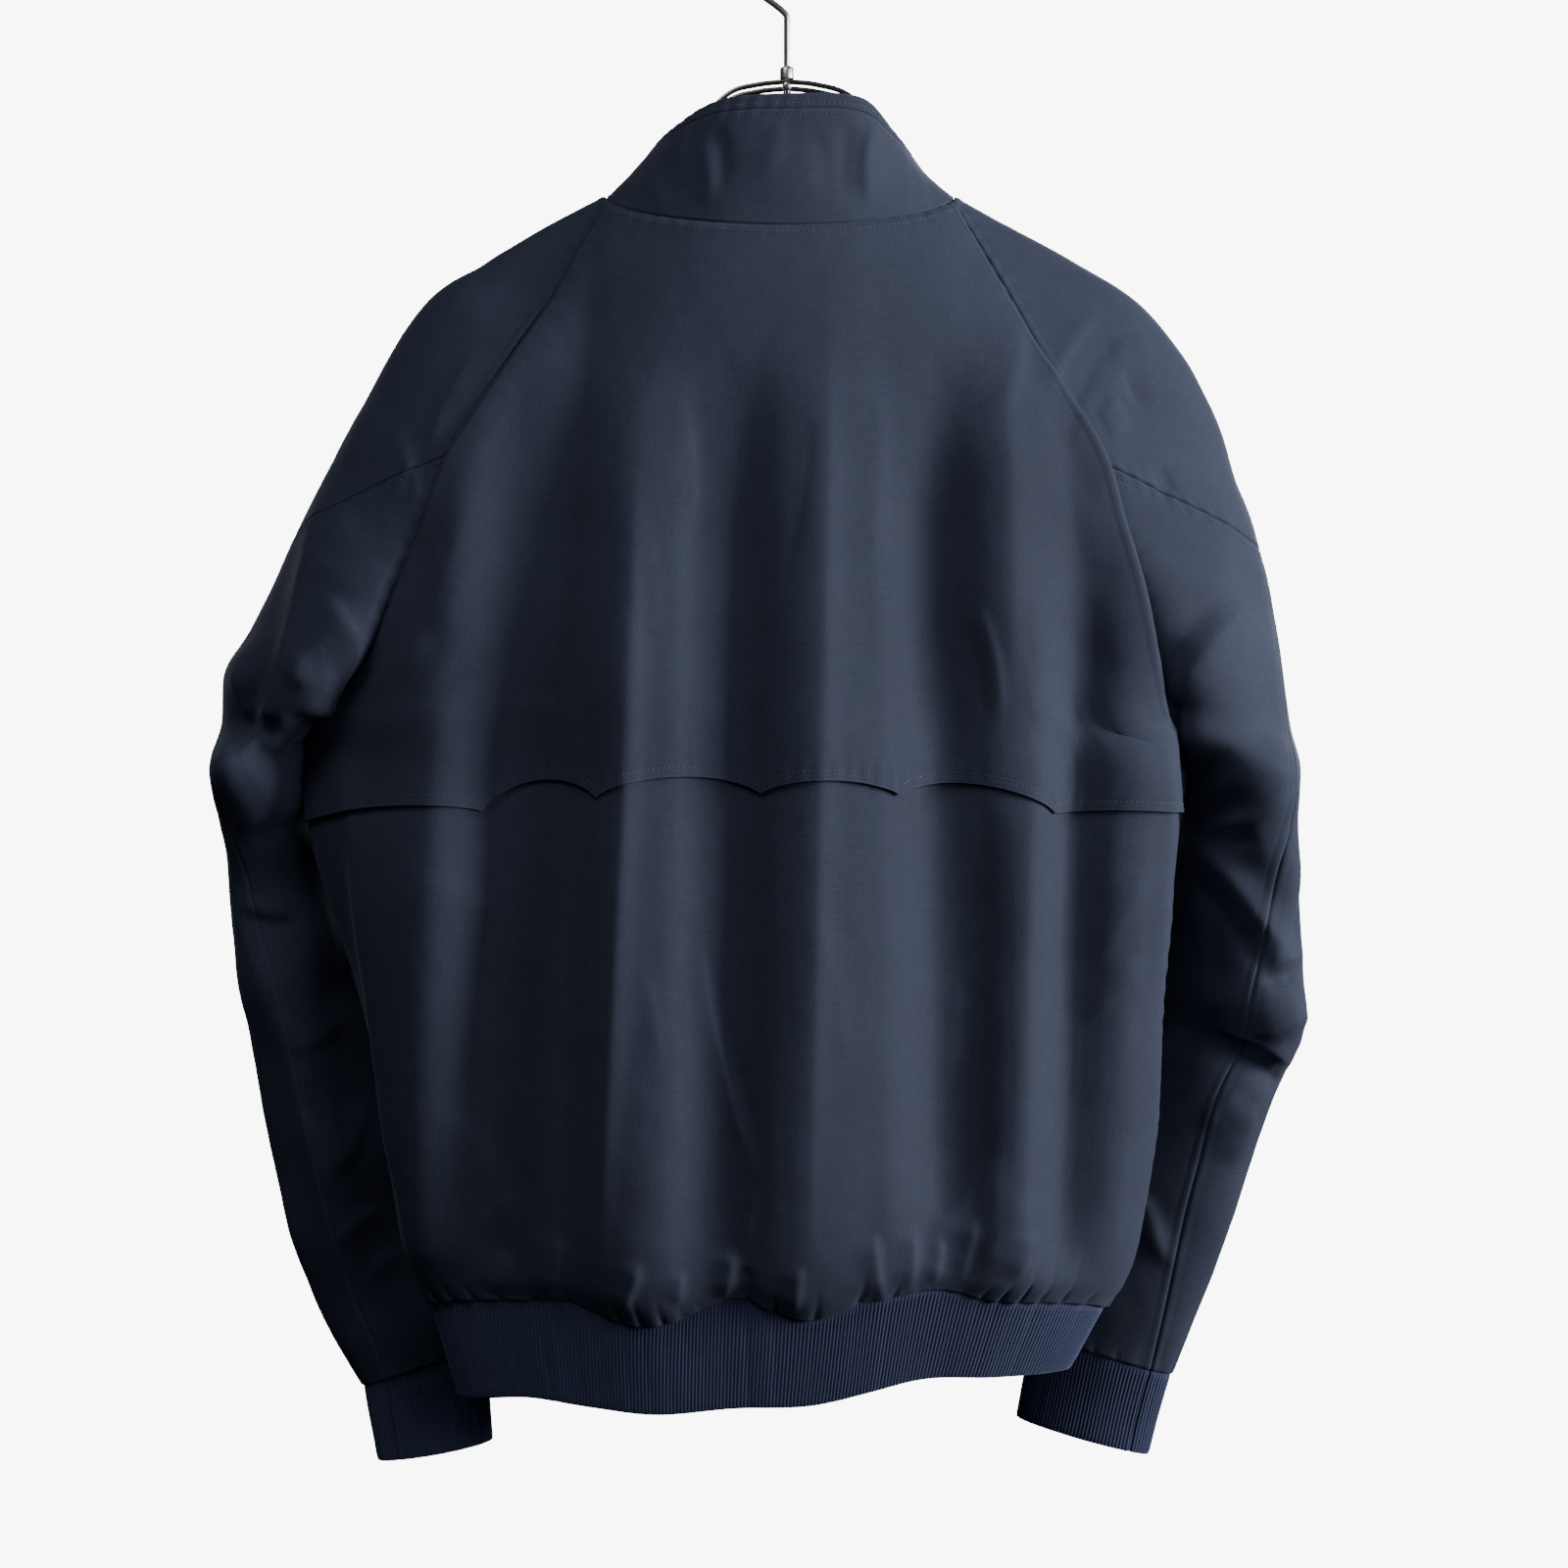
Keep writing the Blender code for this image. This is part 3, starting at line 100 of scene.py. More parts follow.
# Raglan seams and shoulder line of each side, a row per station from the collar to the underarm.
# The turn is the angle at which the body's section meets the seam, in degrees from its side.
RAGLAN_COLUMNS = (
    "back_x back_y back_z back_turn ridge_x ridge_y ridge_z front_x front_y front_z front_turn elbow"
)
RAGLAN_LEFT = table(
    RAGLAN_COLUMNS,
    (-104, -12, -173, 20, -107, 3, -168, -92, 30, -189, 14, 0.75),
    (-121, -25, -203, 30, -144, 3, -187, -108, 40, -222, 26, 0.75),
    (-138, -36, -234, 38, -178, 3, -208, -124, 47, -254, 34, 0.76),
    (-158, -45, -264, 44, -212.5, 3, -231.5, -141, 51, -286, 40, 0.80),
    (-178, -52, -295, 47, -251, 4, -294, -158, 53, -317, 43, 0.86),
    (-197, -56, -326, 46, -290, 8, -370, -176, 54, -348, 43, 0.93),
    (-211, -58, -366, 42, -304, 12, -399, -194, 54, -379, 41, 0.90),
    (-226, -56, -404, 36, -318, 16, -425, -211, 53, -409, 37, 0.87),
    (-243, -47, -442, 26, -331, 20, -449, -228, 50, -438, 31, 0.84),
    (-274, -16, -477, 2, -334, 24, -478, -258, 35, -470, 14, 0.82),
)
RAGLAN_RIGHT = table(
    RAGLAN_COLUMNS,
    (97, -12, -173, 20, 99, 3, -168, 86, 30, -189, 14, 0.75),
    (113, -25, -202, 30, 131, 3, -186, 102, 40, -222, 26, 0.75),
    (129, -35, -231, 38, 167, 3, -206, 118, 47, -254, 34, 0.76),
    (145, -43, -262, 44, 212, 3, -236, 134, 50, -286, 40, 0.80),
    (163, -49, -295, 47, 247, 2, -292, 150, 52, -317, 43, 0.86),
    (180, -52, -329, 46, 277, 2, -377, 165, 53, -348, 43, 0.93),
    (190, -53, -366, 42, 285, 4, -408, 178, 53, -381, 41, 0.90),
    (201, -52, -403, 36, 289, 6, -432, 190, 52, -413, 37, 0.87),
    (208, -44, -440, 28, 293, 8, -458, 201, 48, -446, 31, 0.84),
    (212, -27, -480, 12, 297, 10, -482, 210, 34, -478, 24, 0.82),
)

# Middle line of the back and of the fronts, a row per station from the collar to the hem rib
MIDDLE = table(
    "station back_x back_y back_z front_x front_y front_z",
    (0, -3, -50, -192, 0, 66, -252),
    (1, -4, -56, -214, 0, 67, -272),
    (2, -5, -61, -240, 0, 67, -295),
    (3, -7, -66, -268, 0, 66, -319),
    (4, -9, -70, -298, 0, 65, -344),
    (5, -11, -73, -330, 0, 64, -370),
    (7, -17, -78, -404, 0, 63, -424),
    (10, -22, -80, -501, 0, 62, -503),
    (13, -20, -77, -606, 0, 61, -608),
    (16, -15, -74, -714, 0, 59, -716),
    (18, -12, -70, -776, 0, 57, -781),
    (19, -11, -66, -796, 0, 53, -803),
    (20, -11, -58, -808, 0, 47, -818),
)

# The body's sides under the arms, a row per station; turns place the side seams on the section
SIDES = table(
    "station z left_out left_turn right_out right_turn side_y",
    (10, -498, -283, -2, 232, 0, 0),
    (11, -538, -280, -6, 225, 4, -3),
    (12, -573, -271.5, -9, 226, 7, -3),
    (13, -609, -259.5, -11, 224, 8, -3),
    (14, -645, -248, -12, 220, 8, -2),
    (15, -681, -236, -12, 215.5, 8, -2),
    (16, -717, -229.5, -12, 209.5, 7, -1),
    (17, -751, -226, -11, 206.5, 6, 0),
    (18, -782, -223.5, -10, 203.5, 5, 0),
    (19, -805, -217, -9, 197, 4, 0),
    (20, -820, -210, -8, 187, 4, 0),
)

# Waves of the hem seam, and the foot of the hem rib at the back
HEM_DROOPS = table(
    "x half_width drop",
    (-80, 52, 15),
    (12, 40, 12),
    (84, 34, -5),
)
HEM_FOOT = table(
    "x z",
    (-190, -872),
    (-150, -868),
    (-112, -872),
    (-78, -875),
    (-30, -871),
    (17, -869),
    (48, -862),
    (75, -856),
    (125, -856),
    (165, -856),
)

# Sleeve sections from the underarm to the cuff. long and short are the half-widths of the oval,
# turn the angle from +X to its long way in plan, seam and elbow the places of its two seams.
SLEEVE_COLUMNS = "outer_z outer_x middle_y long short turn tilt seam elbow"
SLEEVE_LEFT = table(
    SLEEVE_COLUMNS,
    (-505, -335, 12, 62, 23, 70, 12, 90, 203),
    (-536, -331, 43, 66, 26, 66, 4, 86, 180),
    (-570, -328.5, 52, 70, 30, 52, 0, 78, 165),
    (-620, -323.5, 58, 73, 29, 46, 2, 70, 152),
    (-675, -315.5, 61, 73, 29, 40, 4, 60, 145),
    (-730, -307, 63, 71, 28, 33, 8, 48, 140),
    (-783, -295.5, 64, 66, 28, 25, 12, 36, 136),
    (-830, -279.5, 64, 58, 27, 18, 17, 24, 134),
    (-858, -265, 63, 50, 25, 14, 19, 16, 133),
    (-875, -255, 61, 37.5, 20, 11, 19, 10, 132),
)
SLEEVE_RIGHT = table(
    SLEEVE_COLUMNS,
    (-505, 299, 10, 60, 32, 70, 0, 90, 203),
    (-538, 298, 29, 66, 29, 58, 0, 86, 180),
    (-571, 300, 39, 70, 30, 50, 0, 78, 160),
    (-630, 304, 47, 73, 30, 44, 2, 68, 140),
    (-668, 302, 50, 73, 30, 40, 3, 62, 134),
    (-694, 289, 52, 71, 29, 37, 4, 56, 132),
    (-740, 275, 55, 67, 28, 31, 8, 46, 132),
    (-790, 258.5, 58, 62, 27, 24, 12, 34, 134),
    (-838, 243, 60, 54, 25, 17, 16, 20, 137),
    (-868, 231, 61, 42.5, 20, 11, 16, 10, 138),
)
SLEEVE_STATION = np.array([0, 1, 2, 3.6, 5.2, 6.6, 8, 9.3, 10.2, 11]) / 11
SLEEVE_ROWS = 11

# Cuff ribs, left and right: length, lean toward the body, how far the foot levels out
CUFFS = table(
    "length lean level",
    (53, 6, 0.6),
    (50, 11, 0.15),
)

# Collar: where its top edge stands for each part of the way round the neck, left end to right end
COLLAR_TOP = table(
    "around top_x top_y top_z belly",
    (0.00, -57, 93, -205, 0),
    (0.13, -84, 60, -168, 0),
    (0.26, -79, 12, -139, -1),
    (0.33, -62.5, -20, -128, -1),
    (0.41, -38, -38, -118, 1),
    (0.50, 1, -43, -115.5, 2),
    (0.59, 44.5, -38, -117.5, 0),
    (0.66, 61, -20, -131, -2),
    (0.74, 77, 10, -149, -2),
    (0.87, 83, 60, -174, 0),
    (1.00, 56, 92, -205, 0),
)

# Soft folds of the body: a line from top to bottom, half-width and rise outward
BACK_FOLDS = table(
    "top_x top_z foot_x foot_z half_width rise",
    (-203, -300, -214, -800, 44, 7),
    (-143, -250, -176, -805, 38, -9),
    (-90, -220, -87, -805, 42, 8),
    (-32, -250, -40, -800, 32, -6),
    (20, -215, 14, -800, 44, 6),
    (79, -250, 86, -800, 32, -6),
    (128, -230, 128, -805, 38, 7),
    (170, -380, 160, -800, 30, -9),
)
FRONT_FOLDS = table(
    "top_x top_z foot_x foot_z half_width rise",
    (-176, -330, -190, -800, 40, 6),
    (-112, -300, -128, -800, 36, -8),
    (-62, -300, -72, -800, 30, 5),
    (64, -300, 70, -800, 30, -6),
    (118, -300, 124, -800, 38, 7),
    (170, -360, 160, -800, 34, -7),
)

# Large folds of the sleeves: a line across the cloth that leans, its half-width and rise
SLEEVE_FOLDS = table(
    "side start_x start_z end_x end_z half_width rise",
    (-1, -318, -452, -262, -486, 16, 7),
    (-1, -310, -486, -268, -508, 15, -7),
    (-1, -326, -540, -276, -522, 17, 6),
    (-1, -322, -640, -268, -600, 24, 4),
    (-1, -290, -770, -236, -742, 22, 4),
    (1, 296, -560, 232, -585, 20, 6),
    (1, 300, -600, 246, -545, 22, -6),
    (1, 302, -650, 236, -628, 20, 6),
    (1, 296, -676, 240, -664, 15, -5),
    (1, 262, -770, 196, -742, 22, 4),
)

# Scalloped edge of the yoke: its points, and the top of the arch after each
SCALLOPS = table(
    "tip_x tip_z arch_x arch_z",
    (-281, -536, -219, -526),
    (-175, -529, -131, -511),
    (-108, -521, -57, -509),
    (-14, -519, 26, -511),
    (63, -520, 98, -513),
    (152, -530, 188, -528),
    (228, -530, 240, -530),
)

# Hanger frame wire: half of it, from the hook outward, for each side
FRAME = table(
    "left_x left_z right_x right_z",
    (0, -103, 0, -103),
    (-18, -105, 18, -105),
    (-34, -110, 36, -111),
    (-50, -127, 52, -129),
    (-68, -154, 68, -160),
    (-92, -180, 88, -181),
    (-118, -190, 112, -190),
    (-160, -213, 154, -213),
    (-196, -237, 188, -235),
)


def unit(v):
    return v / np.maximum(np.linalg.norm(v, axis=-1, keepdims=True), 1e-9)


def ease(x):
    x = np.clip(x, 0, 1)
    return x * x * (3 - 2 * x)


def through(knots, values, at):
    """A smooth line through the values at the knots, read at other places."""
    knots = np.asarray(knots, float)
    values = np.asarray(values, float)
    at = np.asarray(at, float)
    slopes = np.gradient(values, knots, axis=0)
    i = np.clip(np.searchsorted(knots, at, side="right") - 1, 0, len(knots) - 2)
    step = knots[i + 1] - knots[i]
    t = (at - knots[i]) / step
    t = t.reshape(t.shape + (1,) * (values.ndim - 1))
    step = step.reshape(t.shape)
    rest = 1 - t
    ends = values[i] * (1 + 2 * t) * rest**2 + values[i + 1] * (1 + 2 * rest) * t**2
    return ends + step * (slopes[i] * t * rest**2 - slopes[i + 1] * rest * t**2)


def spaced(line, count):
    """The line as count + 1 points. Those near its end keep one spacing where the line is long."""
    far = np.concatenate([[0], np.cumsum(np.linalg.norm(np.diff(line, axis=0), axis=1))])
    even = min(1.0, INNER_SPACING * count / far[-1])
    out = np.linspace(1, 0, count + 1)
    at = far[-1] * (1 - out * even - (1 - even) * out ** 3)
    return np.stack([np.interp(at, far, line[:, k]) for k in range(3)], axis=1)


def bump(x):
    """1 in the middle, 0 from -1 and 1 outward, smooth."""
    return np.where(np.abs(x) < 1, (1 - np.clip(x * x, 0, 1)) ** 2, 0)


# ---- Sleeve sections ----

def sleeve_rings(sections, side):
    """Rings of a sleeve below the underarm, as rows x columns x 3."""
    rows = np.linspace(0, 1, SLEEVE_ROWS + 1)
    keys = ("outer_z", "outer_x", "middle_y", "long", "short", "turn", "tilt", "seam", "elbow")
    read = {key: through(SLEEVE_STATION, sections[key], rows) for key in keys}
    rings = []
    for r in range(SLEEVE_ROWS + 1):
        turn = math.radians(read["turn"][r])
        long_way = np.array([-side * math.cos(turn), math.sin(turn)])
        short_way = np.array([-side * math.sin(turn), -math.cos(turn)])
        a, b = read["long"][r], read["short"][r]
        reach = math.hypot(a * long_way[0], b * short_way[0])
        outer = 180 + math.degrees(math.atan2(b * abs(short_way[0]), a * abs(long_way[0])))
        seam, elbow = read["seam"][r], read["elbow"][r]
        stops = (0, 2 * ELBOW_COL, 2 * OUTER_COL, 2 * SLEEVE_COLS)
        angles = np.interp(np.arange(2 * SLEEVE_COLS + 1), stops, (seam, elbow, outer, seam + 360))
        angles = np.radians(angles)[:, None]
        middle = np.array([read["outer_x"][r] - side * reach, read["middle_y"][r]])
        flat = middle + a * np.cos(angles) * long_way + b * np.sin(angles) * short_way
        inward = np.abs(flat[:, 0] - read["outer_x"][r])
        level = read["outer_z"][r] + inward * math.tan(math.radians(read["tilt"][r]))
        rings.append(np.column_stack([flat, level]))
    return np.array(rings)


def hermite(a, lead_a, b, lead_b, t):
    """A smooth line from a to b that leaves and arrives along its leads."""
    t = np.asarray(t)[:, None]
    rest = 1 - t
    return (a * (1 + 2 * t) * rest**2 + b * (1 + 2 * rest) * t**2
            + lead_a * t * rest**2 - lead_b * rest * t**2)


# ---- Body ----

def body_edges(name, face, underarm):
    """Seam points x, y, z and turn of one side of the back or fronts, for every station."""
    raglan = RAGLAN_LEFT if name == "left" else RAGLAN_RIGHT
    seam = np.column_stack([raglan[face + "_" + key] for key in ("x", "y", "z")])
    turns = raglan[face + "_turn"]
    at = np.arange(UNDERARM_ROW, HEM_ROW + 1)
    side_turn = through(SIDES["station"], SIDES[name + "_turn"], at)
    middle_y = through(MIDDLE["station"], MIDDLE["back_y"], at)
    outs = {}
    for key in ("left_out", "right_out", "z", "side_y"):
        outs[key] = through(SIDES["station"], SIDES[key], at)
    middle_x = (outs["left_out"] + outs["right_out"]) / 2
    half = outs[name + "_out"] - middle_x
    deep = outs["side_y"] - middle_y
    x = middle_x + half * np.cos(np.radians(side_turn))
    y = middle_y + deep * (1 - np.sin(np.radians(side_turn)))
    low = np.column_stack([x, y, outs["z"]])
    low[0] = underarm
    if face == "front":
        side_turn = -side_turn
    return np.concatenate([seam, low]), np.concatenate([turns, side_turn])


def body_halves(face, left_arm, right_arm):
    """Left and right half of the back, or of the fronts, by row, each from its seam to the middle."""
    left, left_turn = body_edges("left", face, left_arm)
    right, right_turn = body_edges("right", face, right_arm)
    stations = np.arange(HEM_ROW + 1)
    middle = np.column_stack([
        through(MIDDLE["station"], MIDDLE[face + key], stations) for key in ("_x", "_y", "_z")
    ])
    halves = []
    for r in stations:
        both = []
        for edge, turn in ((left[r], left_turn[r]), (right[r], right_turn[r])):
            angle = np.radians(np.linspace(turn, 90, 90))
            part = (1 - np.sin(angle)) / (1 - math.sin(math.radians(turn)))
            across = np.cos(angle) / math.cos(math.radians(turn))
            shares = np.column_stack([across, part, part])
            both.append(middle[r] + (edge - middle[r]) * shares)
        halves.append(both)
    return halves


def fold_height(folds, x, z):
    """How far the folds lift the cloth at these places."""
    total = np.zeros_like(x)
    for top_x, top_z, foot_x, foot_z, half, rise in zip(*folds.values()):
        down = (z - top_z) / (foot_z - top_z)
        line = top_x + (foot_x - top_x) * down
        fade = ease(down / 0.22) * ease((1.04 - down) / 0.12)
        total += rise * bump((x - line) / half) * fade
    return total


def hem_droop(points, share):
    """The hem hangs in shallow waves; share is 1 at the seam and 0 well above it."""
    for x, half, drop in zip(*HEM_DROOPS.values()):
        points[:, 2] -= drop * share * bump((points[:, 0] - x) / half)


def facing(points, way):
    """Normals of a grid of points, turned so that they face outward on the whole."""
    normals = unit(np.cross(np.gradient(points, axis=1), np.gradient(points, axis=0)))
    if (normals * way).sum() < 0:
        normals = -normals
    return normals


def lift_folds(points, way, folds):
    """The panel with its large folds, calm at its side seams."""
    normals = facing(points, way)
    height = fold_height(folds, points[..., 0], points[..., 2])
    edge = np.linspace(0, 1, points.shape[1])
    calm = ease(edge / 0.08) * ease((1 - edge) / 0.08)
    return points + normals * (height * calm)[..., None]


left_rings, right_rings = sleeve_rings(SLEEVE_LEFT, -1), sleeve_rings(SLEEVE_RIGHT, 1)
LEFT_ARM, RIGHT_ARM = left_rings[0, 0], right_rings[0, 0]
BACKWARD, FORWARD = np.array([0, -1.0, 0]), np.array([0, 1.0, 0])


def make_back():
    points = []
    for left, right in body_halves("back", LEFT_ARM, RIGHT_ARM):
        halves = (spaced(left, BACK_COLS), spaced(right, BACK_COLS)[::-1][1:])
        points.append(np.concatenate(halves))
    points = lift_folds(np.array(points), BACKWARD, BACK_FOLDS)
    for r, share in ((HEM_ROW, 1.0), (HEM_ROW - 1, 0.85), (HEM_ROW - 2, 0.45)):
        hem_droop(points[r], share)
    return points


def make_front(side):
    points = []
    for halves in body_halves("front", LEFT_ARM, RIGHT_ARM):
        line = halves[0] if side < 0 else halves[1]
        line = line[side * line[:, 0] > EDGE_FROM_ZIP]
        edge = line[-1].copy()
        edge[0] = side * EDGE_FROM_ZIP
        points.append(spaced(np.concatenate([line, [edge]]), 2 * FRONT_COLS))
    return lift_folds(np.array(points), FORWARD, FRONT_FOLDS)


def make_sleeve(side, rings, raglan, back, front):
    """Cap rows from the raglan seams over the shoulder, then the rings down to the cuff."""
    half = 2 * OUTER_COL
    cap = []
    back_edge = back[:, 0] if side < 0 else back[:, -1]
    back_next = back[:, 2] if side < 0 else back[:, -3]
    front_edge, front_next = front[:, 0], front[:, 2]
    ring = rings[0]
    ridge = np.column_stack([raglan["ridge_x"], raglan["ridge_y"], raglan["ridge_z"]])
    ridge = np.concatenate([ridge, [ring[half]]])
    end_leads = (
        (ring[1] - ring[0]) * half, (ring[half + 1] - ring[half - 1]) * half / 2,
        (ring[half + 1] - ring[half - 1]) * half / 2, (ring[-1] - ring[-2]) * half,
    )
    for r in range(UNDERARM_ROW):
        a, o, c = back_edge[r], ridge[r], front_edge[r]
        blend = ease((r - 5) / (UNDERARM_ROW - 5))
        leads = []
        for edge, beyond, near in ((a, back_next, back_edge), (c, front_next, front_edge)):
            out = unit(near[r] - beyond[r])
            along = unit(near[r + 1] - near[max(r - 1, 0)])
            toward = o - edge
            square = unit(out - along * (out @ along))
            way = unit(along * (toward @ along) + square * max(toward @ square, 1.0))
            leads.append(way * 1.5 * np.linalg.norm(toward[[0, 2]]))
        lead_a = leads[0] * (1 - blend) + end_leads[0] * blend
        lead_c = -leads[1] * (1 - blend) + end_leads[3] * blend
        lead_o1 = FORWARD * 1.5 * abs(o[1] - a[1]) * (1 - blend) + end_leads[1] * blend
        lead_o2 = FORWARD * 1.5 * abs(c[1] - o[1]) * (1 - blend) + end_leads[2] * blend
        stops = (0, 2 * ELBOW_COL, half)
        first = np.interp(np.arange(half + 1), stops, (0, raglan["elbow"][r], 1))
        second = np.linspace(0, 1, half + 1)[1:]
        cap.append(np.concatenate([
            hermite(a, lead_a, o, lead_o1, first), hermite(o, lead_o2, c, lead_c, second),
        ]))
    return np.concatenate([np.array(cap), rings])


def sleeve_folds(points, side, normals):
    """Lifts the cloth along leaning lines, on the back of the sleeve and again on its front."""
    total = np.zeros(points.shape[:2])
    for where, x0, z0, x1, z1, half, rise in zip(*SLEEVE_FOLDS.values()):
        if where != side:
            continue
        start, way = np.array([x0, z0]), np.array([x1 - x0, z1 - z0])
        length = np.linalg.norm(way)
        way = way / length
        flat = points[..., [0, 2]] - start
        along = (flat @ way) / length
        off = flat @ np.array([-way[1], way[0]])
        fade = ease((along + 0.45) / 0.4) * ease((1.3 - along) / 0.4)
        total += rise * bump(off / half) * fade
    calm = np.ones(points.shape[:2])
    calm[:UNDERARM_ROW] *= ease((np.arange(UNDERARM_ROW) - 4) / 5)[:, None]
    column = np.arange(points.shape[1])
    at_seam = ease(column / 8) * ease((points.shape[1] - 1 - column) / 8)
    calm *= at_seam
    calm[-2:] *= 0.3
    calm[-1] = 0
    calm *= ease(np.abs(normals[..., 1]) / 0.7)
    return points + normals * (total * calm)[..., None]


# ---- Coarse points of the panels ----

def outward(points):
    """From the middle of each ring to its points."""
    return points - points.mean(axis=1, keepdims=True)


back = make_back()
fronts = {-1: make_front(-1), 1: make_front(1)}
sleeves = {
    -1: make_sleeve(-1, left_rings, RAGLAN_LEFT, back, fronts[-1]),
    1: make_sleeve(1, right_rings, RAGLAN_RIGHT, back, fronts[1]),
}
for side, grid in sleeves.items():
    sleeves[side] = sleeve_folds(grid, side, facing(grid, outward(grid)))

# Folds and creases: a line on the cloth, its bow, half-widths of its steep side (on the
# left as the line runs) and its soft side, height (a trough below 0), and the side it is on
FOLD_COLUMNS = "x0 z0 x1 z1 bow steep soft height face"
SHOULDER_FOLDS = table(          # these cross the raglan seams
    FOLD_COLUMNS,
    (176, -476, 158, -360, -6, 26, 26, -4.5, -1),
    (240, -420, 250, -330, -8, 26, 22, 4.0, -1),
    (184, -236, 146, -300, -5, 3, 9, 1.4, -1),
    (196, -250, 158, -322, -6, 3, 8, -1.1, -1),
    (-206, -330, -176, -262, 5, 4, 12, 1.5, -1),
    (-222, -352, -180, -300, 5, 4, 10, -1.1, -1),
    (-196, -452, -210, -352, 6, 14, 20, -3.4, -1),
)
BACK_FOLDS_SOFT = table(
    FOLD_COLUMNS,
    (168, -226, 213, -640, 17, 9, 46, 13.0, -1),
    (207, -440, 198, -822, 4, 8, 50, 14.0, -1),
    (112, -400, 106, -820, 0, 36, 34, -7.5, -1),
    (114, -520, 104, -826, -3, 27, 29, -6.0, -1),
    (-256, -500, -214, -812, 4, 84, 8, 11.0, -1),
    (-86, -330, -108, -800, 3, 8, 34, 5.5, 0),
    (-136, -380, -204, -812, 0, 56, 16, -7.5, 0),
    (-110, -206, -132, -450, 0, 50, 20, -7.5, 0),
    (24, -250, 12, -800, 0, 9, 26, 4.0, 0),
    (-26, -290, -40, -800, 0, 26, 10, -3.0, 0),
    (82, -260, 90, -800, 0, 17, 18, -3.0, 0),
    (124, -270, 128, -470, 0, 10, 20, 2.4, 0),
    (-196, -420, -212, -800, 0, 14, 18, 2.4, -1),
    (-50, -600, -15, -740, -4, 2.4, 9, 2.3, 0),
    (-42, -606, -8, -738, -4, 5, 8, -0.8, 0),
    (-85, -612, -72, -676, 3, 4, 12, 0.8, 0),
    (-18, -738, -27, -782, 2, 3, 8, 1.1, 0),
    (14, -580, 34, -680, 3, 6, 14, 0.6, 0),
    (82, -782, 126, -722, 4, 6, 14, 2.0, 0),
    (106, -792, 152, -748, 3, 6, 12, 1.6, 0),
    (-60, -296, -53, -372, 2, 4, 12, 0.7, 0),
    (-84, -352, -74, -440, 3, 4, 12, 0.6, 0),
    (13, -300, -3, -402, 4, 5, 12, -0.8, 0),
    (105, -404, 122, -484, 5, 3, 10, 1.2, 0),
    (97, -414, 112, -478, 4, 5, 7, -0.9, 0),
    (134, -246, 120, -310, 3, 4, 16, 1.6, 0),
    (52, -290, 44, -400, 3, 6, 13, 0.6, 0),
    (-188, -470, -110, -480, 5, 8, 18, 0.9, 0),
    (-214, -566, -160, -596, 5, 7, 18, 1.1, 0),
    (196, -560, 176, -620, 3, 4, 12, 1.2, 0),
    (198, -610, 170, -650, 3, 4, 10, 1.1, 0),
    (-204, -690, -156, -776, 6, 8, 20, 1.5, 0),
    (-196, -796, -146, -744, 5, 6, 14, 1.3, 0),
    (94, -618, 87, -690, 3, 5, 14, 1.5, 0),
    (-84, -784, -96, -816, 2, 3, 9, 2.4, 0),
    (-31, -778, -37, -808, 2, 3, 9, 2.6, 0),
    (-24, -786, -21, -809, 1, 2.5, 6, -1.9, 0),
    (-60, -790, -62, -811, 0, 2.5, 6, 1.6, 0),
    (8, -786, 4, -816, 0, 3, 8, 1.8, 0),
    (50, -768, 56, -810, -2, 3, 10, 2.4, 0),
    (72, -766, 70, -804, 1, 3, 8, 2.2, 0),
    (88, -772, 84, -801, 1, 2.5, 6, 1.8, 0),
    (106, -760, 98, -799, 2, 3, 9, 2.0, 0),
    (142, -768, 129, -799, 2, 3, 8, 2.0, 0),
    (-128, -768, -139, -811, 2, 3, 10, 2.0, 0),
    (-160, -782, -171, -809, 2, 3, 8, 1.8, 0),
)
FRONT_FOLDS_SOFT = table(
    FOLD_COLUMNS,
    (-200, -470, -110, -420, 8, 4, 14, 2.2, 0),
    (-212, -512, -140, -512, -6, 4, 12, 1.8, 0),
    (-206, -560, -150, -590, 5, 4, 12, 1.6, 0),
    (-90, -600, -104, -780, 6, 5, 14, 1.8, 0),
    (-40, -300, -62, -470, -5, 4, 12, 1.3, 0),
    (-60, -520, -44, -640, 4, 3, 10, 1.0, 0),
    (-150, -640, -140, -790, 5, 5, 14, 1.9, 0),
    (-180, -760, -130, -720, 5, 4, 10, 1.4, 0),
    (-30, -700, -40, -806, 4, 3, 9, 1.5, 0),
    (200, -472, 112, -426, -8, 4, 14, 2.2, 0),
    (186, -556, 124, -524, 5, 4, 12, 1.7, 0),
    (192, -600, 150, -626, 4, 4, 10, 1.3, 0),
    (62, -320, 74, -480, 5, 4, 12, 1.3, 0),
    (40, -500, 56, -600, 4, 3, 9, 0.9, 0),
    (104, -620, 92, -790, -6, 5, 14, 1.9, 0),
    (156, -660, 164, -790, 5, 5, 12, 1.7, 0),
    (34, -690, 28, -806, -4, 3, 9, 1.4, 0),
    (-60, -776, -66, -818, 2, 3, 9, 2.0, 0),
    (-112, -780, -104, -816, -2, 3, 8, 1.8, 0),
    (70, -774, 74, -814, 2, 3, 9, 2.0, 0),
    (128, -780, 120, -814, 2, 3, 8, 1.8, 0),
)
